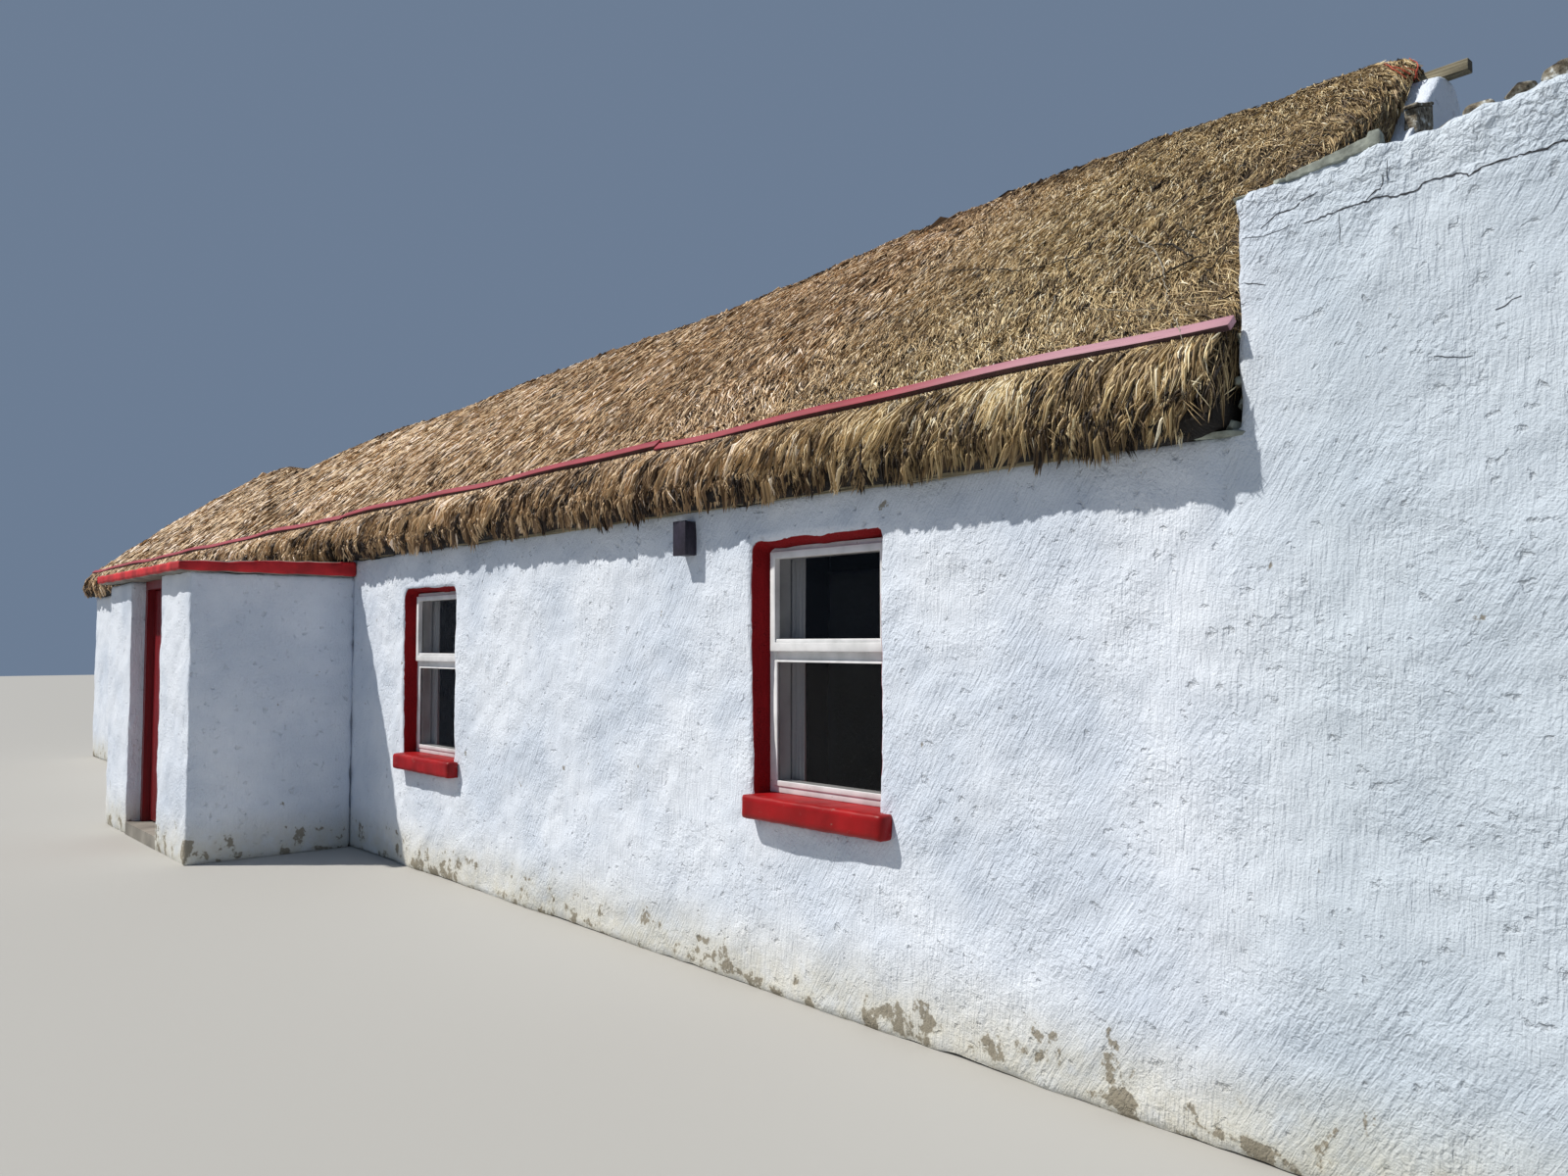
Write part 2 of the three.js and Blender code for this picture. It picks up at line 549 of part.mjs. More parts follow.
function storeRoofTop(y) {
  const fall = (y - STORE_FRONT_THICKNESS) / (roofBackEdge - STORE_FRONT_THICKNESS);
  return STORE_ROOF_FRONT + (STORE_ROOF_BACK - STORE_ROOF_FRONT) * fall;
}

function storeRoofUnderside(y) {
  return storeRoofTop(y) - STORE_ROOF_THICKNESS;
}

add('store_end_wall', profile([
  [STORE_FRONT_THICKNESS, 0], [HOUSE_DEPTH, 0], [HOUSE_DEPTH, storeRoofTop(HOUSE_DEPTH) + STORE_END_UPSTAND],
  [STORE_FRONT_THICKNESS, STORE_ROOF_FRONT + STORE_END_UPSTAND],
], storeInnerRight, STORE_RIGHT), PAINTS.limewash);
const storeBack = solid(upright([
  [GABLE_RIGHT, 0], [STORE_DOOR_LEFT, 0], [STORE_DOOR_LEFT, STORE_DOOR_HEIGHT],
  [STORE_DOOR_RIGHT, STORE_DOOR_HEIGHT], [STORE_DOOR_RIGHT, 0], [storeInnerRight, 0],
  [storeInnerRight, WALL_HEIGHT + 400], [GABLE_RIGHT, WALL_HEIGHT + 400],
], storeBackInner, HOUSE_DEPTH));
const underRoof = solid(profile([
  [0, storeRoofUnderside(0) - SEAT_GAP],
  [HOUSE_DEPTH + 500, storeRoofUnderside(HOUSE_DEPTH + 500) - SEAT_GAP],
  [HOUSE_DEPTH + 500, WALL_HEIGHT + 1000], [0, WALL_HEIGHT + 1000],
], 0, STORE_RIGHT + 500));
add('store_back_wall', surface(storeBack.subtract(underRoof)), PAINTS.limewash);
add('store_roof', profile([
  [STORE_FRONT_THICKNESS, storeRoofUnderside(STORE_FRONT_THICKNESS)],
  [roofBackEdge, storeRoofUnderside(roofBackEdge)], [roofBackEdge, STORE_ROOF_BACK],
  [STORE_FRONT_THICKNESS, STORE_ROOF_FRONT],
], STORE_ROOF_LEFT, storeInnerRight), PAINTS.slate);

add('wall_box', block(BOX_LEFT, BOX_RIGHT, -BOX_DEPTH, 0, BOX_BOTTOM, BOX_TOP), PAINTS.darkBox);

// The origin goes under the middle of the whole building, to the nearest millimetre.
const middle = new THREE.Box3().setFromObject(house).getCenter(new THREE.Vector3());
house.position.set(-Math.round(middle.x), -Math.round(middle.y), 0);

export default house;
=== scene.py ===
# A whitewashed thatched cottage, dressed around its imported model. Metres, +Z up, the front
# faces -Y. Each section below is one piece or group of like pieces, in building order.
import math

import bpy
import numpy as np
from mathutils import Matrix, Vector, noise
from mathutils.bvhtree import BVHTree


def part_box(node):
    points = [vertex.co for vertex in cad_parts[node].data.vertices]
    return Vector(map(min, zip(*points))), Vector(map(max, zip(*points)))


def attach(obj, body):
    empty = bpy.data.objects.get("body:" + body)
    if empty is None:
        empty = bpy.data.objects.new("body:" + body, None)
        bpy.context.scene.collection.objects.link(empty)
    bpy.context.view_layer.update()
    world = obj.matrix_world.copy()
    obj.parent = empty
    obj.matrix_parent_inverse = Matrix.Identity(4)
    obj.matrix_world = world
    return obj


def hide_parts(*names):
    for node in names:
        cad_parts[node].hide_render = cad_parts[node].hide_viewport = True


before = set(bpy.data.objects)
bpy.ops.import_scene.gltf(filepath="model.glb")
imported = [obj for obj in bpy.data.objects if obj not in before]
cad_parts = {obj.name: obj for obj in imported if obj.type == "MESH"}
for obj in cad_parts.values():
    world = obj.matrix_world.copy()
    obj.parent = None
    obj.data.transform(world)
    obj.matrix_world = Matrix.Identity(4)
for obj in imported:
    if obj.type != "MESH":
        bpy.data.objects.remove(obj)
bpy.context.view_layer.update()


# Camera: held at eye height a few steps off the right end of the long wall and turned to
# look along it. Its place is measured from that end of the wall.
EYE_PAST_WALL_END = 1.8
EYE_OFF_WALL = 3.5
EYE_HEIGHT = 1.6
LOOK_UP = math.radians(2.766)
LOOK_LEFT = math.radians(48.8)
FOCAL_PIXELS = 1180
IMAGE_PIXELS = 1600
SENSOR_WIDTH = 36
VIEW_DISTANCE = 200

wall_low, wall_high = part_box("front_wall_right")
FRONT = wall_low[1]
WALL_END = wall_high[0]
bpy.ops.object.select_all(action="DESELECT")
bpy.ops.object.camera_add(
    location=(WALL_END + EYE_PAST_WALL_END, FRONT - EYE_OFF_WALL, EYE_HEIGHT),
    rotation=(math.pi / 2 + LOOK_UP, 0, LOOK_LEFT))
camera = bpy.context.object
camera.data.sensor_width = SENSOR_WIDTH
camera.data.lens = SENSOR_WIDTH * FOCAL_PIXELS / IMAGE_PIXELS
camera.data.clip_end = VIEW_DISTANCE
bpy.context.scene.camera = camera


# Stage: a plain pale floor and an even pale blue surround, with one large key light high in
# front of the house, so far off that shadows keep an edge.
def linear(code):
    """The scene colour of an sRGB hex code."""
    parts = [int(code[i:i + 2], 16) / 255 for i in (0, 2, 4)]
    return (*(p / 12.92 if p <= 0.04045 else ((p + 0.055) / 1.055) ** 2.4 for p in parts), 1)


def link(source, socket):
    """Links an output, or a node by its first output in use, to a socket."""
    if isinstance(source, bpy.types.Node):
        source = next(s for s in source.outputs if s.enabled)
    tree.links.new(source, socket)


def finish(name, **fixed):
    """Starts a material, with fixed values on its shader's own sockets. Its nodes follow."""
    global tree, shader, on_piece
    material = bpy.data.materials.new(name)
    material.use_nodes = True
    tree = material.node_tree
    shader = tree.nodes["Principled BSDF"].inputs
    for socket, value in fixed.items():
        shader[socket.replace("_", " ")].default_value = value
    on_piece = tree.nodes.new("ShaderNodeTexCoord").outputs["Object"]
    return material


def put(kind, *values, stops=(), **named):
    """Adds a node to the material that was started last. Values go to its sockets in order, or by
    name where the name has a capital, and other names are settings. A socket takes a number, a
    colour or a node. Patterns follow the piece's own places unless they are given others."""
    node = tree.nodes.new("ShaderNode" + kind)
    if kind == "TexNoise":
        named.setdefault("Vector", on_piece)
    for key in [key for key in named if key[0].islower()]:
        setattr(node, key, named.pop(key))
    for i, (place, code) in enumerate(stops):
        stop = node.color_ramp.elements[i] if i < 2 else node.color_ramp.elements.new(place)
        stop.position = place
        stop.color = linear(code)
    sockets = list(node.inputs[:len(values)])
    for key in named:
        sockets.append(next(s for s in node.inputs if s.name == key.replace("_", " ") and s.enabled))
    for socket, value in zip(sockets, (*values, *named.values())):
        if isinstance(value, (bpy.types.Node, bpy.types.NodeSocket)):
            link(value, socket)
        else:
            socket.default_value = linear(value) if isinstance(value, str) else value
    return node


def surface(colour, relief=None, depth=0.001, strength=0.5):
    """Gives the started material its colour, and its relief as a bump of a depth in metres."""
    link(colour, shader["Base Color"])
    if relief:
        link(put("Bump", Height=relief, Distance=depth, Strength=strength), shader["Normal"])


def mottled(name, per_metre, detail, stops, depth=0, strength=0.5, harsh=0.5, stretch=None, **fixed):
    """A material of one pattern, repeated so often a metre, with its tones at stops. It may
    stand in relief, with a depth in metres."""
    material = finish(name, **fixed)
    spread = put("Mapping", on_piece, Scale=stretch) if stretch else on_piece
    pattern = put("TexNoise", Vector=spread, Scale=per_metre, Detail=detail, Roughness=harsh)
    surface(put("ValToRGB", pattern, stops=stops), pattern if depth else None, depth, strength)
    return material


KEY_ELEVATION = math.radians(54)
KEY_FROM_LEFT = math.radians(-40)
KEY_STRENGTH = 4.45
KEY_SOFTNESS = math.radians(1.0)
SURROUND = "9db4d3"
SURROUND_STRENGTH = 0.45
FLOOR_SIZE = 120
FLOOR_DROP = 0.002

bpy.context.scene.view_settings.view_transform = "Standard"
bpy.ops.mesh.primitive_plane_add(size=FLOOR_SIZE, location=(0, 0, -FLOOR_DROP))
ground = bpy.context.object
ground.name = "stage_floor"
ground.data.materials.append(finish("pale_matt_floor", Roughness=0.9, Base_Color=linear("a8a7a3")))

bpy.ops.object.light_add(type="SUN", rotation=(math.pi / 2 - KEY_ELEVATION, 0, KEY_FROM_LEFT))
key = bpy.context.object.data
key.energy = KEY_STRENGTH
key.angle = KEY_SOFTNESS
key.color = linear("fff9f0")[:3]
surround = bpy.data.worlds.new("pale_surround")
surround.use_nodes = True
backdrop = surround.node_tree.nodes["Background"].inputs
backdrop["Color"].default_value = linear(SURROUND)
backdrop["Strength"].default_value = SURROUND_STRENGTH
bpy.context.scene.world = surround


# Walls: fieldstone rubble under many coats of limewash, brushed on by hand, so that faces and
# corners wander by a finger's breadth. Walls that meet in one face are washed over as one and
# parted again at their joint.
def alone(piece):
    bpy.ops.object.select_all(action="DESELECT")
    piece.select_set(True)
    bpy.context.view_layer.objects.active = piece


def shaped(piece, work, **settings):
    """Does one piece of work on the whole of a mesh in edit mode."""
    alone(piece)
    bpy.ops.object.mode_set(mode="EDIT")
    bpy.ops.mesh.select_all(action="SELECT")
    work(**settings)
    bpy.ops.object.mode_set(mode="OBJECT")
    return piece


def smooth(piece, degrees=35):
    """Rounds the shading over all edges but those sharper than an angle."""
    alone(piece)
    bpy.ops.object.shade_smooth_by_angle(angle=math.radians(degrees))
    return piece


def settle(piece):
    """Applies the modifiers of a piece in their order."""
    alone(piece)
    for modifier in list(piece.modifiers):
        bpy.ops.object.modifier_apply(modifier=modifier.name)


def joined(name, pieces):
    """Several meshes as one piece."""
    bpy.ops.object.select_all(action="DESELECT")
    for piece in pieces:
        piece.select_set(True)
    bpy.context.view_layer.objects.active = pieces[0]
    bpy.ops.object.join()
    pieces[0].name = name
    return pieces[0]


def placed(name, mesh):
    """A mesh as an object at the origin."""
    piece = bpy.data.objects.new(name, mesh)
    bpy.context.collection.objects.link(piece)
    return piece


def copy_of(*nodes):
    """One new piece, named after the first, from merged copies of CAD nodes."""
    copies = []
    for node in nodes:
        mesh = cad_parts[node].data.copy()
        mesh.materials.clear()
        copies.append(placed(node, mesh))
    return shaped(joined(nodes[0], copies), bpy.ops.mesh.remove_doubles, threshold=0.0001)


def even_mesh(piece, grain):
    """Rebuilds a closed mesh from even quads of one size, which also eases its corners."""
    modifier = piece.modifiers.new("even", "REMESH")
    modifier.mode = "VOXEL"
    modifier.voxel_size = grain
    modifier.use_smooth_shade = True


def uneven(piece, spacing, height, group=""):
    """Lumps and hollows of a given spacing, height from the lowest to the highest."""
    lumps = bpy.data.textures.new(f"lumps_{spacing}", "CLOUDS")
    lumps.noise_scale = spacing
    lumps.noise_depth = 2
    modifier = piece.modifiers.new("uneven", "DISPLACE")
    modifier.texture = lumps
    modifier.texture_coords = "LOCAL"
    modifier.strength = height
    modifier.vertex_group = group


def corners(piece):
    points = np.empty(len(piece.data.vertices) * 3)
    piece.data.vertices.foreach_get("co", points)
    return points.reshape(-1, 3)


def weigh(piece, group, weights):
    """A vertex group with a weight for each vertex, in steps of a tenth."""
    target = piece.vertex_groups.new(name=group)
    steps = np.round(np.clip(weights, 0, 1) * 10).astype(int)
    for step in range(11):
        members = np.flatnonzero(steps == step).tolist()
        if members:
            target.add(members, step / 10, "REPLACE")


def keep_side(piece, place, away):
    """Cuts a piece by a plane, closes the cut and keeps the side that away points from."""
    shaped(piece, bpy.ops.mesh.bisect, plane_co=place, plane_no=away, use_fill=True, clear_outer=True)
    smooth(piece, degrees=60)


def parted(piece, name, other_name, place, away):
    """The two parts of a piece on either side of a plane."""
    alone(piece)
    bpy.ops.object.duplicate()
    other = bpy.context.object
    piece.name = name
    other.name = other_name
    keep_side(piece, place, away)
    keep_side(other, place, tuple(-a for a in away))
    return piece, other


def hand_over(piece, material, slot, *nodes, body="house"):
    """Gives a finished piece its material and its body, and hides the CAD nodes it stands for."""
    piece.data.materials.append(material)
    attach(piece, body)
    if nodes:
        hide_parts(*nodes)


def coated(material, *nodes):
    """Gives CAD nodes that stay as they are their material."""
    for node in nodes:
        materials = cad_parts[node].data.materials
        materials.clear()
        materials.append(material)


def frame_middle(node):
    low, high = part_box(node)
    return (low + high) / 2


# Limewash: slaked lime over lime render, dead matt and chalky, brushed in short strokes 14 mm
# wide over lumps of thrown render, with pits, yellow damp at the foot and old flakes showing
# grey render. What turns into a window's reveal is painted dark red, and deeper in, inside the
# frame, nearly black: painted shade of the unlit room.
STROKE_WIDTH = 0.014
STROKE_LENGTH = 0.085
STROKE_DEPTH = 0.007
THROWN_LUMP = 0.024
THROWN_DEPTH = 0.0085
PIT_SPACING = 0.045
PIT_DEPTH = 0.0065
SAND_GRAIN = 0.007
SAND_DEPTH = 0.0025
BLOTCH_SPACING = 0.6
DAMP_HEIGHT = 0.42
FLAKE_SPACING = 0.13
REVEAL_START = 0.006
REVEAL_REACH = 0.06
JOINT_X = WALL_END
LAP = 0.05
ROUGH_TOP_START = 2.72
ROUGH_TOP_FULL = 3.0
ROUGH_TOP_DEPTH = 0.018
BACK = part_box("back_wall")[1][1]
HOUSE_MIDDLE_X = (frame_middle("window_1_frame")[0] + frame_middle("window_4_frame")[0]) / 2
HOUSE_MIDDLE_Y = (FRONT + BACK) / 2
REVEAL_DEPTH = 0.51
RED_DEPTH = 0.14
reveal_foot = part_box("window_2_frame")[0][2] - 0.012
reveal_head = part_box("window_1_frame")[1][2] + REVEAL_REACH
window_half = (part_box("window_1_frame")[1][0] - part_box("window_1_frame")[0][0]) / 2
inner_half = (BACK - FRONT) / 2 - REVEAL_START

limewash = finish("limewash_on_render", Roughness=0.93, IOR=1.5, Specular_IOR_Level=0.25)
lime = put("SeparateXYZ", on_piece).outputs
blotch = put("TexNoise", Scale=1 / BLOTCH_SPACING, Detail=5)
pit_noise = put("TexNoise", Scale=1 / PIT_SPACING, Detail=6)
flake_noise = put("TexNoise", Scale=1 / FLAKE_SPACING, Detail=7, Roughness=0.62)
# The tall wall past the joint is coloured darker and bluer: painted shade.
painted_shade_past_joint = put("MapRange", lime["X"], JOINT_X - 0.2, JOINT_X + 0.3, 0, 0.6)
dust_amount = put("MapRange", pit_noise, 0.66, 0.80, 0, 0.4)
damp_and_underside_shade = put("MapRange", lime["Z"], DAMP_HEIGHT, 0, 0, 1, interpolation_type="SMOOTHSTEP")
damp_patchy = put("Math", damp_and_underside_shade, flake_noise, operation="MULTIPLY")
flake_edge = put("Math", damp_and_underside_shade, 0.16, flake_noise, operation="MULTIPLY_ADD")
flaked = put("MapRange", flake_edge, 0.70, 0.73, 0, 0.85)

off_middle = put("Math", lime["X"], HOUSE_MIDDLE_X, operation="SUBTRACT")
off_middle_size = put("Math", off_middle, operation="ABSOLUTE")
deep = put("Math", lime["Y"], HOUSE_MIDDLE_Y, operation="SUBTRACT")
deep_size = put("Math", deep, operation="ABSOLUTE")
wobble = put("MapRange", flake_noise, 0.3, 0.7, -0.006, 0.006)
deep_wavy = put("Math", deep_size, wobble, operation="ADD")
near_face = put("Math", deep_size, inner_half - REVEAL_DEPTH, operation="GREATER_THAN")
facing = put("SeparateXYZ", put("NewGeometry").outputs["Normal"])
out_facing = put("Math", facing.outputs["Y"], operation="ABSOLUTE")
turned_in = put("MapRange", out_facing, 0.80, 0.70)
at_height = put("Math", lime["Z"], (reveal_foot + reveal_head) / 2, (reveal_head - reveal_foot) / 2,
                operation="COMPARE")
openings = 0.0
for window in ("window_1", "window_2", "back_window_1"):
    beside = abs(frame_middle(window + "_frame")[0] - HOUSE_MIDDLE_X)
    near = put("Math", off_middle_size, beside, window_half + REVEAL_REACH, operation="COMPARE")
    openings = put("Math", near, openings, operation="MAXIMUM")
reveal = put("Math", deep_wavy, inner_half, operation="LESS_THAN")
for limit in (near_face, turned_in, openings, at_height):
    reveal = put("Math", reveal, limit, operation="MULTIPLY")
# Deeper than the red part, the reveal is nearly black: painted shade of the unlit room inside.
outer_part = put("Math", deep_size, inner_half - RED_DEPTH, operation="GREATER_THAN")
reveal_red_and_inner_shade = put("Mix", Factor=outer_part, A="191b21", B="8a1118", data_type="RGBA")
wall_colour = put("ValToRGB", blotch, stops=((0.36, "d0dae8"), (0.62, "e5ecf6")))
for amount, layer in ((painted_shade_past_joint, "bccad5"), (dust_amount, "9fa3a6"), (damp_patchy, "c3b78e"),
                      (flaked, "857d6d"), (reveal, reveal_red_and_inner_shade)):
    wall_colour = put("Mix", Factor=amount, A=wall_colour, B=layer, data_type="RGBA")

strokes = []
for tilt in (0.55, 0.05):
    turned = put("Mapping", on_piece, Rotation=(0, tilt, 0), vector_type="TEXTURE",
                 Scale=(STROKE_WIDTH, STROKE_WIDTH, STROKE_LENGTH))
    strokes.append(put("TexNoise", Vector=turned, Scale=1, Detail=3, Distortion=0.4))
crossing = put("MapRange", blotch, 0.42, 0.58)
crossed = put("Mix", Factor=crossing, A=strokes[0], B=strokes[1])
stroke_height = put("Math", crossed, STROKE_DEPTH, operation="MULTIPLY")
thrown = put("TexNoise", Scale=1 / THROWN_LUMP, Detail=4, Distortion=0.6)
wander = put("TexNoise", Scale=3, Detail=4)
thrown_here = put("MapRange", wander, 0.42, 0.62, 0.25 * THROWN_DEPTH, THROWN_DEPTH)
tall_part = put("Math", lime["X"], JOINT_X - LAP, operation="GREATER_THAN")
top_depth = put("MapRange", lime["Z"], ROUGH_TOP_START + 0.14, ROUGH_TOP_FULL, 0, ROUGH_TOP_DEPTH)
thrown_deep = put("Math", tall_part, top_depth, thrown_here, operation="MULTIPLY_ADD")
with_lumps = put("Math", thrown, thrown_deep, stroke_height, operation="MULTIPLY_ADD")
sand = put("TexNoise", Scale=1 / SAND_GRAIN, Detail=2)
with_sand = put("Math", sand, SAND_DEPTH, with_lumps, operation="MULTIPLY_ADD")
pits = put("MapRange", pit_noise, 0.63, 0.74, 0, -PIT_DEPTH)
relief = put("Math", with_sand, pits, operation="ADD")
surface(wall_colour, relief, depth=1.0, strength=1.0)

FINE_GRAIN = 0.02
STONE_LUMPS = 0.42
STONE_LUMP_HEIGHT = 0.036
HAND_LUMPS = 0.11
HAND_LUMP_HEIGHT = 0.013
TOP_LUMPS = 0.06
TOP_LUMP_HEIGHT = 0.04
GROOVE_OFF_JOINT = 0.058
GROOVE_WIDTH = 0.03
GROOVE_DEPTH = 0.018
GROOVE_FOOT = 1.75
GROOVE_FADE = 0.35
HEAD_SPLAY = 0.030
JAMB_SPLAY = 0.028
SPLAY_REACH = 0.06

front_part = copy_of("front_wall_right")
for vertex in front_part.data.vertices:
    if vertex.co.x > JOINT_X - 0.001:
        vertex.co.x += LAP
long_wall = joined("long_wall", [front_part, copy_of("store_front_wall")])
even_mesh(long_wall, FINE_GRAIN)
settle(long_wall)
points = corners(long_wall)
rise = (points[:, 2] - ROUGH_TOP_START) / (ROUGH_TOP_FULL - ROUGH_TOP_START)
weigh(long_wall, "rough_top", rise * (points[:, 0] > JOINT_X))
weigh(long_wall, "unseen", points[:, 1] > FRONT + 0.2)
uneven(long_wall, STONE_LUMPS, STONE_LUMP_HEIGHT)
uneven(long_wall, HAND_LUMPS, HAND_LUMP_HEIGHT)
uneven(long_wall, TOP_LUMPS, TOP_LUMP_HEIGHT, "rough_top")
settle(long_wall)
points = corners(long_wall)
x, y, z = points.T
across_groove = (x - JOINT_X + GROOVE_OFF_JOINT) / GROOVE_WIDTH
groove = GROOVE_DEPTH * np.exp(-across_groove ** 2) * (y < FRONT + LAP)
y += groove * np.clip((z - GROOVE_FOOT) / GROOVE_FADE, 0, 1)
for window in ("window_1", "window_2"):
    low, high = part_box(window + "_frame")
    flare = np.clip((low[1] - y) / (low[1] - FRONT), 0, 1)
    at_head = np.exp(-((z - high[2]) / SPLAY_REACH) ** 2) * (x > low[0] - SPLAY_REACH) * (x < high[0] + 0.01)
    at_jamb = np.exp(-((x - low[0]) / SPLAY_REACH) ** 2) * (z > low[2] - 0.02) * (z < high[2] + SPLAY_REACH)
    z += HEAD_SPLAY * flare * at_head
    x -= JAMB_SPLAY * flare * at_jamb * np.clip((z - low[2]) / 0.6, 0.3, 1)
long_wall.data.vertices.foreach_set("co", points.ravel())
fewer = long_wall.modifiers.new("fewer", "DECIMATE")
fewer.vertex_group = "unseen"
fewer.ratio = 0.62
settle(long_wall)
halves = parted(long_wall, "front_wall_right", "store_front_wall", (JOINT_X, 0, 0), (1, 0, 0))
for half, node in zip(halves, ("front_wall_right", "store_front_wall")):
    hand_over(half, limewash, "limewash", node)
store_wall = halves[1]


def rough(wall, grain, stone_height):
    """Gives a wall the lumps of its stones and of the hand that washed it."""
    even_mesh(wall, grain)
    uneven(wall, STONE_LUMPS, stone_height)
    uneven(wall, HAND_LUMPS, HAND_LUMP_HEIGHT)
    settle(wall)


PIER_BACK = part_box("porch_left_pier")[1][1]
for side, grain in (("left", 0.034), ("right", 0.025)):
    names = (f"porch_{side}_pier", f"porch_{side}_side")
    wing = copy_of(names[1])
    for vertex in wing.data.vertices:
        if vertex.co.y < PIER_BACK + 0.001:
            vertex.co.y -= LAP
    porch = joined("porch", [copy_of(names[0]), wing])
    rough(porch, grain, STONE_LUMP_HEIGHT)
    for half, node in zip(parted(porch, *names, (0, PIER_BACK, 0), (0, 1, 0)), names):
        hand_over(half, limewash, "limewash", node)

for node, grain in (
        ("front_wall_left", 0.045), ("front_wall_over_door", 0.05), ("back_wall", 0.05),
        ("right_gable", 0.024), ("left_gable", 0.05), ("store_end_wall", 0.055),
        ("store_back_wall", 0.055)):
    wall = copy_of(node)
    rough(wall, grain, STONE_LUMP_HEIGHT * 0.8)
    hand_over(wall, limewash, "limewash", node)


# Cracks: the render of the tall wall has split along a wavering line below its top, with
# shorter splits beside it, open by a few millimetres and dark inside with painted shade. Each
# point is the distance past the joint of the two walls and the height above the ground.
CRACK_STEP = 0.01
CRACK_PROUD = 0.001
CRACK_DEPTH = 0.004
LONG_CRACK = (
    (0.228, 2.887), (0.286, 2.894), (0.356, 2.899), (0.410, 2.902), (0.459, 2.904), (0.490, 2.893),
    (0.549, 2.896), (0.564, 2.914), (0.600, 2.915), (0.667, 2.912), (0.686, 2.893), (0.700, 2.903),
    (0.732, 2.911), (0.815, 2.913), (0.866, 2.911), (0.892, 2.919), (1.000, 2.912), (1.120, 2.931),
)
CRACKS = (
    (LONG_CRACK, 0.0052),
    (((0.412, 2.905), (0.432, 2.924), (0.454, 2.930), (0.459, 2.973)), 0.0034),
    (((0.086, 2.912), (0.111, 2.926), (0.135, 2.945), (0.183, 2.947), (0.222, 2.961),
      (0.268, 2.970)), 0.0038),
    (((0.024, 2.897), (0.094, 2.884), (0.158, 2.889), (0.190, 2.896)), 0.0018),
    (((0.735, 2.508), (0.765, 2.515), (0.779, 2.531), (0.799, 2.532)), 0.0034),
    (((0.583, 2.408), (0.651, 2.393), (0.678, 2.395)), 0.0024),
    (((0.019, 2.752), (0.060, 2.742), (0.096, 2.730)), 0.0026),
    (((0.470, 2.935), (0.470, 3.010)), 0.0016),
    (((0.330, 2.898), (0.334, 2.840), (0.330, 2.800)), 0.0016),
)
chance = np.random.default_rng(41)
store_face = BVHTree.FromObject(store_wall, bpy.context.evaluated_depsgraph_get())


def stepped(route, step, least):
    """A route at even steps, and the share of its length at which each lies."""
    reach = np.concatenate(([0], np.cumsum(np.linalg.norm(np.diff(route, axis=0), axis=1))))
    stations = np.linspace(0, reach[-1], max(least, round(reach[-1] / step)))
    line = np.stack([np.interp(stations, reach, along) for along in route.T], axis=1)
    return line, stations / reach[-1]


def tube(points, sides):
    """Corners that lie in rings, with the faces that close them to a tube."""
    last = len(points)
    faces = [tuple(range(sides))[::-1], tuple(range(last - sides, last))]
    for i in range(0, last - sides, sides):
        for a in range(sides):
            b = (a + 1) % sides
            faces.append((i + a, i + b, i + sides + b, i + sides + a))
    return points, faces


def sliver(route, width):
    """A closed sliver that follows the face of the tall wall."""
    line, share = stepped(np.array(route) + (JOINT_X, 0), CRACK_STEP, 3)
    line += chance.normal(0, width * 0.35, line.shape)
    along = np.gradient(line, axis=0)
    across = np.stack([-along[:, 1], along[:, 0]], axis=1)
    across /= np.linalg.norm(across, axis=1)[:, None]
    taper = np.sin(np.pi * (0.07 + 0.86 * share)) ** 0.5
    half = (width / 2 * taper * np.clip(chance.normal(1, 0.25, len(line)), 0.5, 1.5))[:, None]
    points = []
    for middle, edge in zip(line, across * half):
        for place, lift in ((middle - edge, -CRACK_PROUD), (middle + edge, -CRACK_PROUD),
                            (middle, CRACK_DEPTH)):
            hit = store_face.ray_cast(Vector((place[0], FRONT - 1, place[1])), Vector((0, 1, 0)))[0]
            points.append((place[0], (hit.y if hit else FRONT) + lift, place[1]))
    return tube(points, 3)


def new_piece(name, points, faces):
    """A new piece from its corners and faces, at the origin."""
    mesh = bpy.data.meshes.new(name)
    mesh.from_pydata(points, [], faces)
    return placed(name, mesh)


def from_parts(name, parts):
    """One closed piece from lists of corners and faces, facing outwards."""
    points, faces = [], []
    for part_points, part_faces in parts:
        faces += [tuple(len(points) + corner for corner in face) for face in part_faces]
        points += part_points
    return shaped(new_piece(name, points, faces), bpy.ops.mesh.normals_make_consistent, inside=False)


# The depth of a crack in lime render: a dark grey sliver, painted shade inside the crack.
crack_shade = mottled("painted_shade_in_a_crack", 40, 2, ((0.35, "24262b"), (0.7, "4a4d54")), Roughness=1.0)
hand_over(from_parts("wall_cracks", [sliver(*crack) for crack in CRACKS]), crack_shade, "limewash")


# Floors: concrete laid on the ground inside the house and in the porch, trowelled smooth by
# hand. The marks of the float show as pale and dark patches under fine dust.
FLOAT_MARKS = 0.35
DUST_GRAIN = 0.012
trowelled = finish("trowelled_concrete", Roughness=0.85)
float_marks = put("TexNoise", Scale=1 / FLOAT_MARKS, Detail=8)
floor_tone = put("ValToRGB", float_marks, stops=((0.35, "6f6b64"), (0.65, "9a968d")))
surface(floor_tone, put("TexNoise", Scale=1 / DUST_GRAIN, Detail=4), depth=0.002)
coated(trowelled, "floor", "porch_floor")


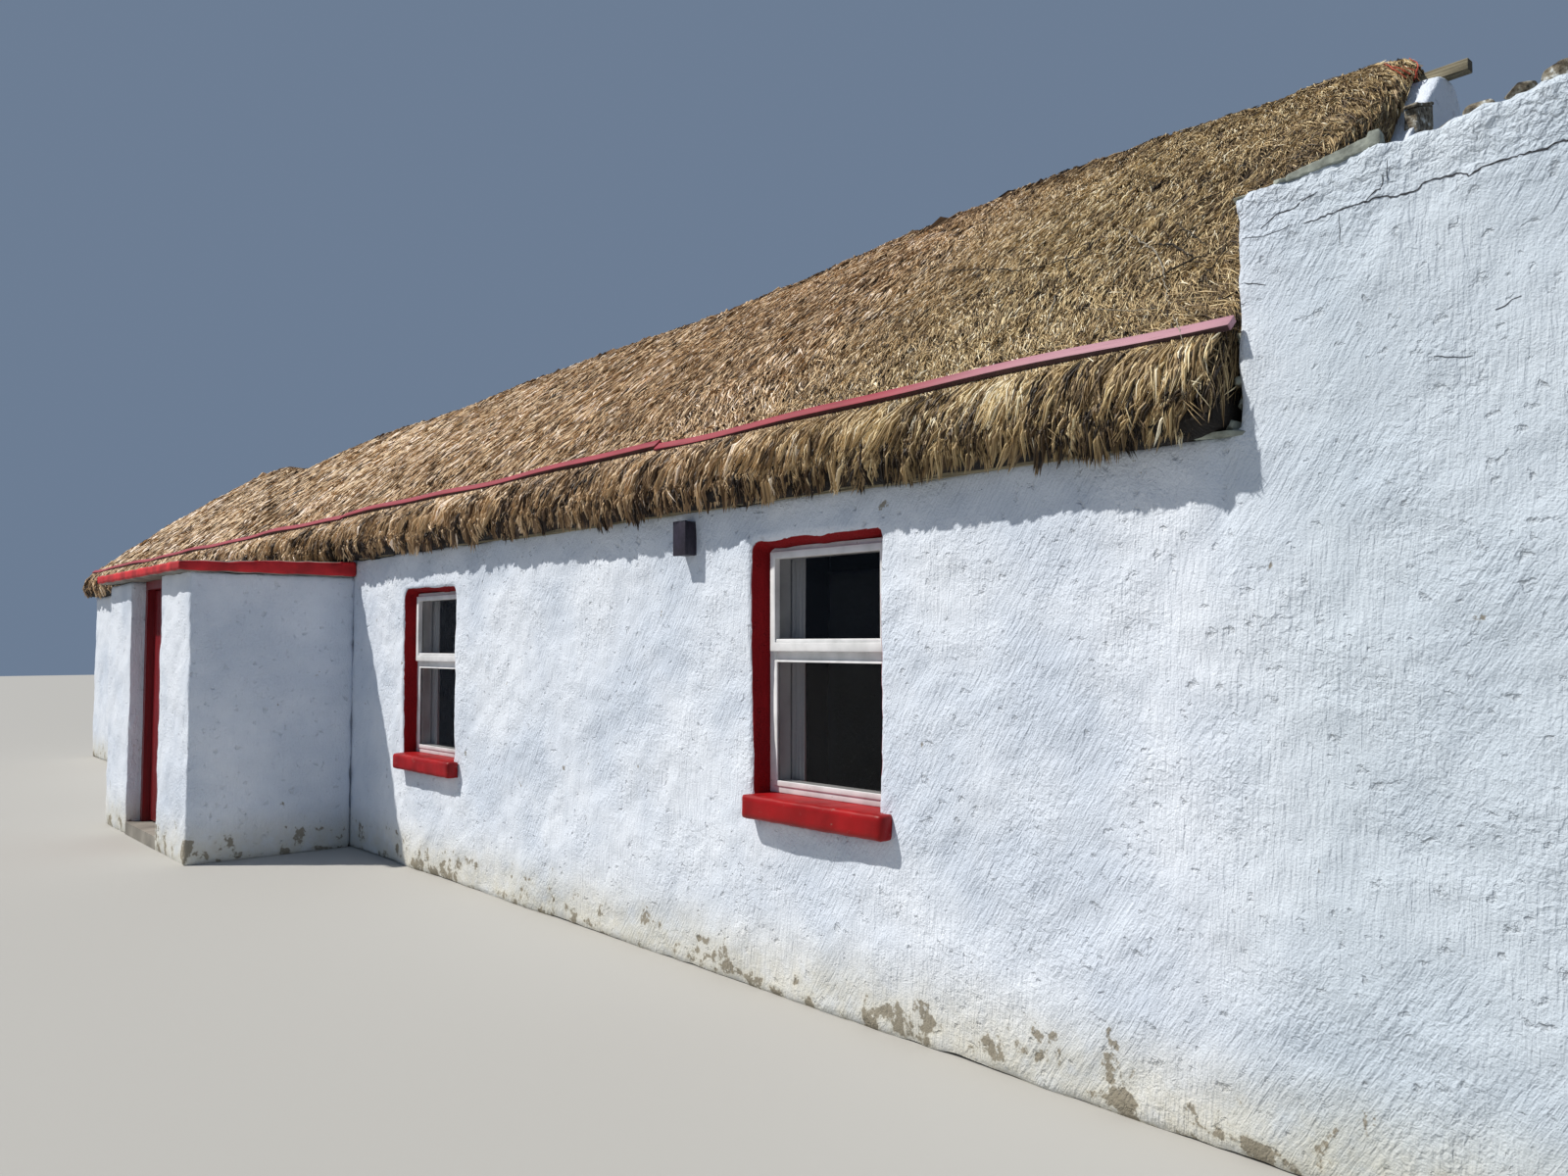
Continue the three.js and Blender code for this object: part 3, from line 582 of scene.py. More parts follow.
# Windows: softwood frames painted white. A narrow sash closes the upper light, proud of the
# glass, and its foot laps the deep rail. The lower light is beaded straight into the frame.
CASING_SHOWN = 0.037
CASING_PROUD = 0.013
HEAD_SHOWN = 0.030
SASH_MEMBER = 0.028
SASH_LAP = 0.006
SASH_BACK = 0.0065
SASH_PROUD = 0.040
STRIP_PROUD = 0.0085
STRIP_BELOW = 0.006
STRIP_SHORT = 0.01
SASH_FOOT_UNDER_RAIL_TOP = 0.056
SASH_LIGHT_OVER_RAIL_TOP = -0.014
BEAD_HEIGHT = 0.017
BEAD_BACK = 0.007
BEAD_GAP = 0.001
LOWER_BEAD = 0.020
LOWER_BEAD_PROUD = 0.018
EASED_EDGE = 0.003
RAIL_BOTTOM = 0.625
RAIL_TOP = 0.72

# White oil gloss on softwood: brushed, yellowed a little, chipped and dusty along the rails.
gloss_white = finish("white_gloss_on_softwood", Roughness=0.42)
white_noise = put("TexNoise", Scale=9, Detail=6)
white_tone = put("ValToRGB", white_noise, stops=((0.3, "cfd1d2"), (0.6, "e9eaec")))
chips = put("MapRange", put("TexNoise", Scale=55, Detail=5, Roughness=0.7), 0.68, 0.70)
white_chipped = put("Mix", Factor=chips, A=white_tone, B="8b8375", data_type="RGBA")
brush_lines = put("Mapping", on_piece, Scale=(350, 350, 350))
surface(white_chipped, put("TexNoise", Vector=brush_lines, Scale=1, Detail=2), depth=0.0008, strength=0.4)

# Sheet glass: nearly black, painted shade of the unlit room behind it, with a clear gloss and a
# faint film of dust.
sheet_glass = mottled("sheet_glass", 4, 5, ((0.3, "06070a"), (0.75, "101318")),
                      Roughness=0.04, IOR=1.5, Alpha=0.26, Specular_IOR_Level=0.3)


def upright_ring(left, right, bottom, top, members, front, back):
    """A rectangular frame in an upright plane; members are its left, right, foot and head."""
    bpy.ops.object.select_all(action="DESELECT")
    bpy.ops.mesh.primitive_plane_add(size=2)
    ring = bpy.context.object
    bpy.ops.object.mode_set(mode="EDIT")
    bpy.ops.mesh.inset(thickness=0.5)
    bpy.ops.mesh.delete(type="FACE")
    bpy.ops.object.mode_set(mode="OBJECT")
    for vertex in ring.data.vertices:
        x, z = vertex.co.x, vertex.co.y
        inner = max(abs(x), abs(z)) < 0.9
        side = left + inner * members[0] if x < 0 else right - inner * members[1]
        level = bottom + inner * members[2] if z < 0 else top - inner * members[3]
        vertex.co = (side, (front + back) / 2, level)
    thicken = ring.modifiers.new("thicken", "SOLIDIFY")
    thicken.thickness = abs(back - front)
    thicken.offset = 0
    eased(ring, EASED_EDGE, segments=2)
    return shaped(ring, bpy.ops.mesh.normals_make_consistent, inside=False)


def cut_across(piece, step):
    """Cuts a long piece across at even steps, so that it can bend."""
    along = corners(piece)[:, 0]
    count = max(2, round((along.max() - along.min()) / step))
    alone(piece)
    bpy.ops.object.mode_set(mode="EDIT")
    for x in np.linspace(along.min(), along.max(), count + 1)[1:-1]:
        bpy.ops.mesh.select_all(action="SELECT")
        bpy.ops.mesh.bisect(plane_co=(x, 0, 0), plane_no=(1, 0, 0))
    bpy.ops.object.mode_set(mode="OBJECT")


def eased(piece, edge, segments=1):
    """Takes the sharpness off the edges of a piece."""
    ease = piece.modifiers.new("ease", "BEVEL")
    ease.width = edge
    ease.segments = segments
    settle(piece)


def bar(low, high, edge):
    """A straight bar with eased edges between two corners."""
    bpy.ops.object.select_all(action="DESELECT")
    bpy.ops.mesh.primitive_cube_add(size=1)
    bpy.ops.object.mode_set(mode="EDIT")
    bpy.ops.transform.resize(value=[abs(b - a) for a, b in zip(low, high)])
    bpy.ops.transform.translate(value=[(a + b) / 2 for a, b in zip(low, high)])
    bpy.ops.mesh.bevel(offset=edge, segments=2, affect="EDGES")
    bpy.ops.object.mode_set(mode="OBJECT")
    return bpy.context.object


for window in ("window_1", "window_2", "window_3", "window_4", "back_window_1", "back_window_2"):
    node = window + "_frame"
    low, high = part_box(node)
    outward = 1 if window.startswith("back") else -1
    face = high[1] if outward > 0 else low[1]
    casing_front, strip_front, sash_back, sash_front, bead_front, lower_front = (
        face + outward * proud for proud in (CASING_PROUD, STRIP_PROUD, SASH_BACK, SASH_PROUD,
                                             SASH_PROUD - BEAD_BACK, LOWER_BEAD_PROUD))
    casing = copy_of(node)
    eased(casing, EASED_EDGE, segments=2)
    rail_foot, rail_top = low[2] + RAIL_BOTTOM, low[2] + RAIL_TOP
    left, right = low[0] + CASING_SHOWN, high[0] - CASING_SHOWN
    sash_foot = rail_top - SASH_FOOT_UNDER_RAIL_TOP
    sash_light = rail_top + SASH_LIGHT_OVER_RAIL_TOP
    stile, bead = SASH_MEMBER + SASH_LAP, LOWER_BEAD + SASH_LAP
    whole = joined(node, [
        casing,
        upright_ring(low[0], high[0], low[2], high[2],
                     (CASING_SHOWN, CASING_SHOWN, CASING_SHOWN, HEAD_SHOWN), face, casing_front),
        bar((left, sash_back, rail_foot - STRIP_BELOW), (right, strip_front, rail_top - STRIP_SHORT),
            EASED_EDGE / 3),
        upright_ring(left - SASH_LAP, right + SASH_LAP, sash_foot, high[2] - HEAD_SHOWN + SASH_LAP,
                     (stile, stile, sash_light - sash_foot, stile), sash_back, sash_front),
        bar((left + SASH_MEMBER, sash_back, sash_light),
            (right - SASH_MEMBER, bead_front, sash_light + BEAD_HEIGHT), EASED_EDGE),
        upright_ring(left - SASH_LAP, right + SASH_LAP, low[2] + CASING_SHOWN - SASH_LAP,
                     rail_foot - BEAD_GAP, (bead, bead, bead, LOWER_BEAD / 2), sash_back, lower_front),
    ])
    hand_over(smooth(whole), gloss_white, "white_paint", node)
    coated(sheet_glass, window + "_glass")


# Sills: concrete cast on the wall with a thick nose, painted bright red and repainted, rubbed
# at the corners.
SILL_GRAIN = 0.016
SILL_TRIM = 0.05

# Red masonry paint: bright with a soft gloss, brown where it is rubbed through.
red_gloss = finish("red_masonry_paint", Roughness=0.45, Specular_IOR_Level=0.25)
red_noise = put("TexNoise", Scale=6, Detail=7)
red_tone = put("ValToRGB", red_noise, stops=((0.3, "7e080c"), (0.65, "a30e13")))
rub_noise = put("TexNoise", Scale=26, Detail=8, Roughness=0.65)
rubbed = put("MapRange", rub_noise, 0.64, 0.68, 0, 0.8)
surface(put("Mix", Factor=rubbed, A=red_tone, B="8a5a52", data_type="RGBA"), rub_noise, depth=0.002)
for number in (1, 2, 3, 4):
    node = f"window_{number}_sill"
    sill = copy_of(node)
    if number < 3:
        for vertex in sill.data.vertices:
            if vertex.co.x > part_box(node)[1][0] - 0.001:
                vertex.co.x -= SILL_TRIM
    even_mesh(sill, SILL_GRAIN if number < 3 else SILL_GRAIN * 1.8)
    uneven(sill, spacing=0.09, height=0.007)
    settle(sill)
    hand_over(sill, red_gloss, "red_painted_concrete", node)


# Curtains: thin pale cotton, gathered on a wire across the head of the reveal and pushed to
# the left side of the first two windows.
FOLDS = 5
FOLD_DEPTH = 0.011
CLOTH_THICKNESS = 0.0012
COTTON_THREAD = 0.004
HEAD_GAP = 0.002

# Plain woven cotton: soft and matt, a thread drawn as 4 mm because a real one is too fine.
cotton = mottled("thin_plain_woven_cotton", 1 / COTTON_THREAD, 2, ((0.35, "d4d6db"), (0.65, "eceef1")),
                 depth=0.0006, Roughness=0.95, Sheen_Weight=0.2)
for window in ("window_1", "window_2"):
    low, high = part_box(window + "_curtain")
    drop = high[2] - low[2] - 2 * HEAD_GAP
    bpy.ops.object.select_all(action="DESELECT")
    bpy.ops.mesh.primitive_grid_add(x_subdivisions=140, y_subdivisions=30, size=1)
    curtain = bpy.context.object
    curtain.name = window + "_curtain"
    for vertex in curtain.data.vertices:
        across = vertex.co.x + 0.5
        down = 0.5 - vertex.co.y
        swing = math.sin(2 * math.pi * FOLDS * across + 0.7 * math.sin(3 * across + 2 * down))
        loose = 0.65 + 0.35 * down + 0.25 * math.sin(9 * across)
        vertex.co = (low[0] + (high[0] - low[0]) * across,
                     (low[1] + high[1]) / 2 + FOLD_DEPTH * swing * loose, high[2] - HEAD_GAP - drop * down)
    shaped(curtain, bpy.ops.mesh.normals_make_consistent, inside=False)
    thin = curtain.modifiers.new("thin", "SOLIDIFY")
    thin.thickness = CLOTH_THICKNESS
    settle(curtain)
    bpy.ops.object.shade_smooth()
    hand_over(curtain, cotton, "curtain_cloth", window + "_curtain")


# Roof timbers: a squared ridge pole whose end stands out of the gable, and purlins, all bare
# softwood gone grey, checked along the grain.
GRAIN_ACROSS = 0.006
GRAIN_ALONG = 0.35
POLE_STEP = 0.15
POLE_EDGE = 0.005

# Bare softwood in the weather: grey and dry, with dark grain, and cut ends darker, partly
# from end grain and partly as painted shade.
bare_wood = finish("weathered_bare_softwood", Roughness=0.88)
grain_map = put("Mapping", on_piece, Scale=(1 / GRAIN_ALONG, 1 / GRAIN_ACROSS, 1 / GRAIN_ACROSS))
grain_noise = put("TexNoise", Vector=grain_map, Scale=1, Detail=5, Roughness=0.65)
wood_tone = put("ValToRGB", grain_noise, stops=((0.3, "39342a"), (0.46, "7d7560"), (0.7, "b0a88e")))
wood_facing = put("SeparateXYZ", put("NewGeometry").outputs["Normal"])
# Faces that turn to +X are darker: end grain, and painted shade on the side away from the light.
end_grain_and_shade = put("MapRange", wood_facing.outputs["X"], 0.6, 0.9, 0, 0.75)
wood_with_shaded_ends = put("Mix", Factor=end_grain_and_shade, A=wood_tone, B="2c261f", data_type="RGBA")
surface(wood_with_shaded_ends, grain_noise, depth=0.004, strength=0.8)

pole = copy_of("ridge_pole")
eased(pole, POLE_EDGE, segments=2)
cut_across(pole, POLE_STEP)
for vertex in pole.data.vertices:
    along = vertex.co.x
    vertex.co.z += 0.003 * math.sin(5.1 * along)
    vertex.co.y += 0.003 * math.sin(3.7 * along + 1)
hand_over(smooth(pole), bare_wood, "weathered_timber", "ridge_pole")
coated(bare_wood, "front_purlin", "back_purlin")


# Eave board: a sawn plank gone brown, nailed in three lengths to the wall's face under the
# thatch. It is of the same bare wood as the roof timbers.
BOARD_FOOT = 2.262
BOARD_HEAD = 2.300
BOARD_PROUD = 0.016
BOARD_BACK = 0.02
BOARD_LENGTHS = ((-0.33, 2.05, 0.004), (2.06, 4.42, -0.003), (4.435, 6.66, 0.003))
planks = []
for left, right, rise in BOARD_LENGTHS:
    plank = bar((left, FRONT - BOARD_PROUD, BOARD_FOOT + rise),
                (right, FRONT + BOARD_BACK, BOARD_HEAD + rise), edge=0.003)
    cut_across(plank, POLE_STEP)
    for vertex in plank.data.vertices:
        vertex.co.z += 0.004 * math.sin(1.9 * vertex.co.x)
        vertex.co.y += 0.003 * math.sin(2.7 * vertex.co.x + 1)
    planks.append(plank)
hand_over(smooth(joined("eave_board", planks)), bare_wood, "weathered_timber")


# Thatch: a coat of straw about 300 mm thick over the timbers, darker and broken inside. Both
# slopes are laid as one and parted along the ridge. The outer strands lie on this coat, so its
# weather side is set back by their depth, except under the battens that hold it down.
COAT_GRAIN = 0.055
COAT_LUMPS = 0.3
COAT_LUMP_HEIGHT = 0.036
COAT_INSET = 0.026
RIDGE_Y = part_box("thatch_front")[1][1]
EAVE_SHADE_TOP = 2.56
EAVE_SHADE_FOOT = 2.42

# Straw in the depth of the coat: brown and dusty, in the shade of what lies over it.
deep_straw = finish("packed_old_straw", Roughness=0.95)
deep_map = put("Mapping", on_piece, Scale=(120, 14, 14))
deep_noise = put("TexNoise", Vector=deep_map, Scale=1, Detail=4)
depth_shade_tone = put("ValToRGB", deep_noise, stops=((0.35, "17110c"), (0.52, "352a1f"), (0.72, "5a4c38")))
deep_height = put("SeparateXYZ", on_piece).outputs["Z"]
eave_shade = put("MapRange", deep_height, EAVE_SHADE_TOP, EAVE_SHADE_FOOT, 0, 0.9)
deep_shaded = put("Mix", Factor=eave_shade, A=depth_shade_tone, B="110c08", data_type="RGBA")
surface(deep_shaded, deep_noise, depth=0.02, strength=0.9)

BATTEN_PITCH = math.radians(43)
BATTEN_UNDERSIDE = -0.013
CLEAR_REACH = 0.30
PRESS_FLAT = 0.03
PRESS_RISE = 0.12


def tucked(points, spare=0.005):
    """Presses what lies near a batten down to just over the batten's underside."""
    for node, side in (("batten_right", -1), ("batten_back", 1)):
        off = points[:, 1:] - np.array(frame_middle(node))[1:]
        up_slope = np.array([-side * math.cos(BATTEN_PITCH), math.sin(BATTEN_PITCH)])
        out = np.array([side * math.sin(BATTEN_PITCH), math.cos(BATTEN_PITCH)])
        along = np.abs(off @ up_slope)
        limit = BATTEN_UNDERSIDE + spare + PRESS_RISE * np.clip(along - PRESS_FLAT, 0, None)
        press = np.clip(off @ out - limit, 0, None) * (along < CLEAR_REACH) * (off[:, 0] * side > -0.4)
        points[:, 1:] -= press[:, None] * out
    return points


SLOPE_OUT = 0.64
SLOPE_UP = 0.77


def weather_side(points, normals):
    """How far each normal points to the sky from its own slope: one straight out of it."""
    side = np.where(points[:, 1] < RIDGE_Y, -SLOPE_OUT, SLOPE_OUT)
    return side * normals[:, 1] + SLOPE_UP * normals[:, 2]


coat = copy_of("thatch_front", "thatch_back")
even_mesh(coat, COAT_GRAIN)
uneven(coat, COAT_LUMPS, COAT_LUMP_HEIGHT)
soften = coat.modifiers.new("soften", "SMOOTH")
soften.iterations = 2
settle(coat)
points = corners(coat)
normals = np.empty(points.size)
coat.data.vertices.foreach_get("normal", normals)
open_air = np.clip(weather_side(points, normals.reshape(-1, 3)) * 3 + 0.3, 0, 1)
held = np.clip(np.abs(points[:, 2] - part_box("batten_right")[0][2] - 0.02) / 0.05 - 0.6, 0.2, 1)
weigh(coat, "free", open_air * held)
inset = coat.modifiers.new("inset", "DISPLACE")
inset.mid_level = 0
inset.strength = -COAT_INSET
inset.vertex_group = "free"
settle(coat)
coat.data.vertices.foreach_set("co", tucked(corners(coat), -0.004).ravel())
coat, back_coat = parted(coat, "thatch_front", "thatch_back", (0, RIDGE_Y, 0), (0, 1, 0))
hand_over(coat, deep_straw, "straw", "thatch_front")
hand_over(back_coat, deep_straw, "straw", "thatch_back")


# Straw: the outer strands, laid in tufts that run down the slope, each strand a closed sliver
# a few millimetres wide. They are thinner and closer at the right end, where they are near.
TUFT = 4
SLIVER_FACES = np.array([[0, 2, 1], [3, 1, 2], [0, 3, 2], [0, 1, 3]])
MOST_ROLL = 0.7
STRAW_DEPTH = 0.030

# Wheat straw weathered on a roof: pale where bleached, brown and grey where old, with the
# slight gloss of the stem. Each strand carries its own tone.
straw = finish("weathered_wheat_straw", Roughness=0.62)
tone = put("Attribute", attribute_name="tone").outputs["Fac"]
straw_tone = put("ValToRGB", tone, stops=((0.0, "251b12"), (0.2, "5d4a33"), (0.45, "a58d66"),
                                          (0.68, "d3bb8c"), (0.88, "ecdbb0"), (1.0, "fbf2d8")))
ruddy = put("MapRange", put("SeparateXYZ", on_piece).outputs["X"], 5.6, 4.2)
surface(put("Mix", Factor=ruddy, A=straw_tone, B="fff5fb", data_type="RGBA", blend_type="MULTIPLY"))


def unit(vectors):
    return vectors / np.linalg.norm(vectors, axis=1)[:, None]


def spread_out(count, spread, least=0.5, most=1.7):
    """Factors about one."""
    return np.clip(chance.normal(1, spread, count), least, most)


def strands(name, roots, tips, outs, widths, bows, tones):
    """A piece of many strands, each from root to tip with its wide place bowed outwards."""
    runs = unit(tips - roots)
    sides = unit(np.cross(runs, outs))
    outs = np.cross(sides, runs)
    roll = chance.uniform(-MOST_ROLL, MOST_ROLL, len(roots))[:, None]
    flat = np.cos(roll) * sides + np.sin(roll) * outs
    share = chance.uniform(0.3, 0.7, len(roots))[:, None]
    wide = roots + share * (tips - roots) + outs * (bows + 0.5 * widths)[:, None]
    half = flat * (widths / 2)[:, None]
    points = tucked(np.stack([roots, wide - half, wide + half, tips], axis=1).reshape(-1, 3))
    faces = (np.arange(len(roots))[:, None, None] * 4 + SLIVER_FACES).reshape(-1, 3)
    piece = new_piece(name, points.tolist(), faces.tolist())
    piece.data.attributes.new("tone", "FLOAT", "POINT").data.foreach_set(
        "value", np.repeat(np.clip(tones, 0, 1), 4))
    hand_over(piece, straw, "straw")


def spots_on(piece, count, wanted):
    """Random places on a mesh, spread by area times wanted(middles, normals)."""
    mesh = piece.data
    mesh.calc_loop_triangles()
    triangles = np.empty(len(mesh.loop_triangles) * 3, dtype=np.int32)
    mesh.loop_triangles.foreach_get("vertices", triangles)
    points = corners(piece)[triangles].reshape(-1, 3, 3)
    crossed_sides = np.cross(points[:, 1] - points[:, 0], points[:, 2] - points[:, 0])
    area = np.linalg.norm(crossed_sides, axis=1)
    normals = crossed_sides / np.maximum(area, 1e-12)[:, None]
    weight = area * wanted(points.mean(axis=1), normals)
    picked = chance.choice(len(area), size=count, p=weight / weight.sum())
    a, b = chance.random((2, count))
    over = a + b > 1
    a[over], b[over] = 1 - a[over], 1 - b[over]
    chosen = points[picked]
    spot = (chosen[:, 0] + a[:, None] * (chosen[:, 1] - chosen[:, 0])
            + b[:, None] * (chosen[:, 2] - chosen[:, 0]))
    return spot, normals[picked]


def drift(points, spacing, seed):
    """A slow wander between about -1 and 1 over the roof."""
    offset = Vector((seed * 7.3, seed * 3.1, seed * 5.7))
    return np.array([noise.noise(Vector(p) / spacing + offset) for p in points]) * 1.6


roof_points, roof_faces = [], []
for slope in (coat, back_coat):
    start = len(roof_points)
    roof_points.extend(vertex.co for vertex in slope.data.vertices)
    roof_faces.extend([i + start for i in face.vertices] for face in slope.data.polygons)
roof_tree = BVHTree.FromPolygons(roof_points, roof_faces)


def laid(points, lifts):
    """Points moved to stand so far over the nearest place on the coat."""
    moved = np.empty_like(points)
    for i, point in enumerate(points):
        place, normal = roof_tree.find_nearest(Vector(point))[:2]
        moved[i] = place + normal * float(lifts[i])
    return moved


VERGE_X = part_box("thatch_back")[1][0]
MESS_REACH = 0.7
RIDGE_MESS = 0.35
UPPER_LEAN = 0.27
EAVE_LEAN = 0.56
COMBED_FROM = 3.3
ALL_COMBED = 2.7


def thatched(name, ground_piece, count, wanted, downhill, length, width, tone_middle, spread=0.12,
             combing=1):
    """Tufts of strands over a coat. Length and width are for the strand, in metres."""
    tufts = count // TUFT
    spots, normals = spots_on(ground_piece, tufts, wanted)
    x, y, z = spots.T
    mess = np.clip(1 - np.minimum((VERGE_X - x) / MESS_REACH, np.abs(y - RIDGE_Y) / RIDGE_MESS), 0, 1)
    combed = combing * np.clip((COMBED_FROM - z) / (COMBED_FROM - ALL_COMBED), 0, 1)
    lean = UPPER_LEAN + (EAVE_LEAN - UPPER_LEAN) * combed + 0.14 * drift(spots, 0.9, 1)
    lean += chance.normal(0, spread + 0.12 * mess, tufts)
    stray = chance.random(tufts) < 0.07 + 0.08 * mess
    lean[stray] += chance.normal(0, 0.6, stray.sum())
    down = unit(downhill - normals * (normals @ downhill)[:, None])
    across = np.cross(normals, down)
    lie = np.cos(lean)[:, None] * down + np.sin(lean)[:, None] * across
    tuft_tone = (tone_middle + 0.12 * drift(spots, 0.12, 2) + 0.08 * drift(spots, 1.4, 3)
                 + chance.normal(0, 0.18, tufts) - 0.22 * mess)
    tuft_lift = 0.013 + 0.006 * drift(spots, 0.08, 4)
    many = np.repeat(np.arange(tufts), TUFT)
    n = len(many)
    outs = normals[many]
    runs = unit(lie[many] + chance.normal(0, 0.13, (n, 3)))
    lifts = np.clip(tuft_lift[many] + chance.normal(0, 0.007, n), 0.001, STRAW_DEPTH - 0.006)
    lengths = length * spread_out(n, 0.25, 0.5, 1.6) * (1 + 0.45 * mess[many])
    middles = laid(spots[many] + across[many] * chance.normal(0, 2.0 * width, n)[:, None]
                   + down[many] * chance.normal(0, 0.25 * length, n)[:, None], lifts)
    reach = runs * (lengths / 2)[:, None]
    roots = laid(middles - reach, 0.55 * lifts)
    tips = laid(middles + reach, lifts + np.abs(chance.normal(0.002, 0.004, n)))
    widths = width * spread_out(n, 0.28, 0.45, 1.8) * (1 - 0.2 * mess[many])
    bows = ((middles - (roots + tips) / 2) * outs).sum(axis=1)
    # Strands that lie lower on the coat are darker: painted shade from the strands over them.
    depth_shade_tone = 26 * np.clip(lifts - 0.014, -0.014, 0.0)
    tones = tuft_tone[many] + depth_shade_tone + chance.normal(0, 0.17, n)
    strands(name, roots, tips, outs, widths, bows, tones)


def between(left, right):
    """The weather side of a slope down to its eave, between two places along the house."""
    def wanted(points, normals):
        x, y, z = points.T
        outer = (weather_side(points, normals) > 0.1) & (np.abs(y - RIDGE_Y) > 0.001)
        side = (np.abs(normals[:, 0]) > 0.7) & (np.abs(y - RIDGE_Y) > 0.12)
        eave = np.clip((z - 2.40) / 0.10, 0.1, 1) * (z > 2.36)
        return ((x > left) & (x <= right) & (outer | side)) * eave
    return wanted


def verge(points, normals):
    """The strip beside the right end of the front slope, where the straw lies loose."""
    x, y, z = points.T
    outer = (weather_side(points, normals) > -0.05) & (np.abs(y - RIDGE_Y) > 0.05)
    return ((x > VERGE_X - 0.16) & (z > 2.66) & outer).astype(float)


DOWN_FRONT = np.array([0.0, -0.75, -0.66])
DOWN_BACK = np.array([0.0, 0.75, -0.66])
OFF_VERGE = np.array([0.42, -0.62, -0.66])
NEAREST_PART = WALL_END - 1.2
NEAR_PART = WALL_END - 2.3
NEXT_PART = WALL_END - 4.6
MIDDLE_PART = WALL_END - 8.9
PAST_ENDS = 99
for part, left, right, count, length, width, tone in (
        ("near", NEAREST_PART, PAST_ENDS, 40000, 0.11, 0.0037, 0.57),
        ("beside", NEAR_PART, NEAREST_PART, 36000, 0.12, 0.0040, 0.57),
        ("next", NEXT_PART, NEAR_PART, 33000, 0.15, 0.0060, 0.60),
        ("middle", MIDDLE_PART, NEXT_PART, 26000, 0.21, 0.0092, 0.64),
        ("left", -PAST_ENDS, MIDDLE_PART, 18000, 0.28, 0.016, 0.67)):
    thatched("straw_front_" + part, coat, count, between(left, right), DOWN_FRONT, length, width, tone)
thatched("straw_back", back_coat, 11000, between(-PAST_ENDS, PAST_ENDS), DOWN_BACK,
         length=0.38, width=0.024, tone_middle=0.62)
thatched("straw_verge", coat, 5400, verge, OFF_VERGE,
         length=0.13, width=0.0036, tone_middle=0.52, spread=0.35, combing=0)


# Ridge straw: handfuls of straw bent over the ridge from slope to slope, so that the ridge
# stays closed. They lie across each other and are darker where they are old.
def under(tree, x, y, start=9):
    """Where a plumb line from a height first meets a piece, or nothing."""
    return tree.ray_cast(Vector((x, y, start)), Vector((0, 0, -1)))[0]


def saddle(name, left, right, count, length, width, tone_middle):
    """Strands over the ridge, each in two lengths that meet at its crown."""
    spots = np.stack([chance.uniform(left, right, count), chance.normal(RIDGE_Y, 0.05, count)], axis=1)
    ends = []
    half = (length * spread_out(count, 0.2, 0.5, 1.4) / 2)[:, None]
    lean = chance.normal(0, 0.35, count)[:, None]
    way = np.concatenate([np.sin(lean), np.cos(lean)], axis=1)
    for plan in (spots - way * half, spots + way * half, spots):
        hits = [under(roof_tree, x, y) for x, y in plan]
        ends.append(np.array([(x, y, h.z if h else np.nan) for (x, y), h in zip(plan, hits)]))
    near, far, crown = ends
    good = ~np.isnan(near[:, 2] + far[:, 2] + crown[:, 2])
    lift = np.array([0.0, 0.0, 1.0]) * chance.uniform(0.004, 0.022, good.sum())[:, None]
    near, far, crown = near[good] + lift, far[good] + lift, crown[good] + lift
    up = np.tile([0.0, 0.0, 1.0], (len(near), 1))
    widths = width * spread_out(len(near), 0.25)
    tones = tone_middle + 0.15 * drift(near - lift, 0.25, 6) + chance.normal(0, 0.22, len(near))
    for part, start, end in (("front", near, crown), ("back", crown, far)):
        strands(f"{name}_{part}", start, end, up, widths, np.full(len(near), 0.004), tones)


saddle("ridge_straw_near", NEXT_PART, VERGE_X - 0.02,
       count=3600, length=0.30, width=0.0042, tone_middle=0.21)
saddle("ridge_straw_far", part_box("thatch_front")[0][0] + 0.05, NEXT_PART,
       count=3000, length=0.34, width=0.013, tone_middle=0.48)


# Eave straw: locks drawn together at their tips, a close row over the batten's foot and a
# thinner one from below it, with the dark of the coat between them.
LOCK = 10
EAVE_SWAY = -0.30
EAVE_UPPER = (2.47, 2.60, 2.34, 2.48)
EAVE_LOWER = (2.36, 2.50, 2.215, 2.35)
EAVE_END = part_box("thatch_front")[1][0]
EAVE_HEIGHTS = (2.200, 2.270, 2.375, 2.490, 2.588)
EAVE_REACHES = (2.290, 2.315, 2.350, 2.322, 2.258)


def eave_reach(heights):
    """How far from the ridge the eave's round reaches at some heights."""
    return np.interp(heights, EAVE_HEIGHTS, EAVE_REACHES)


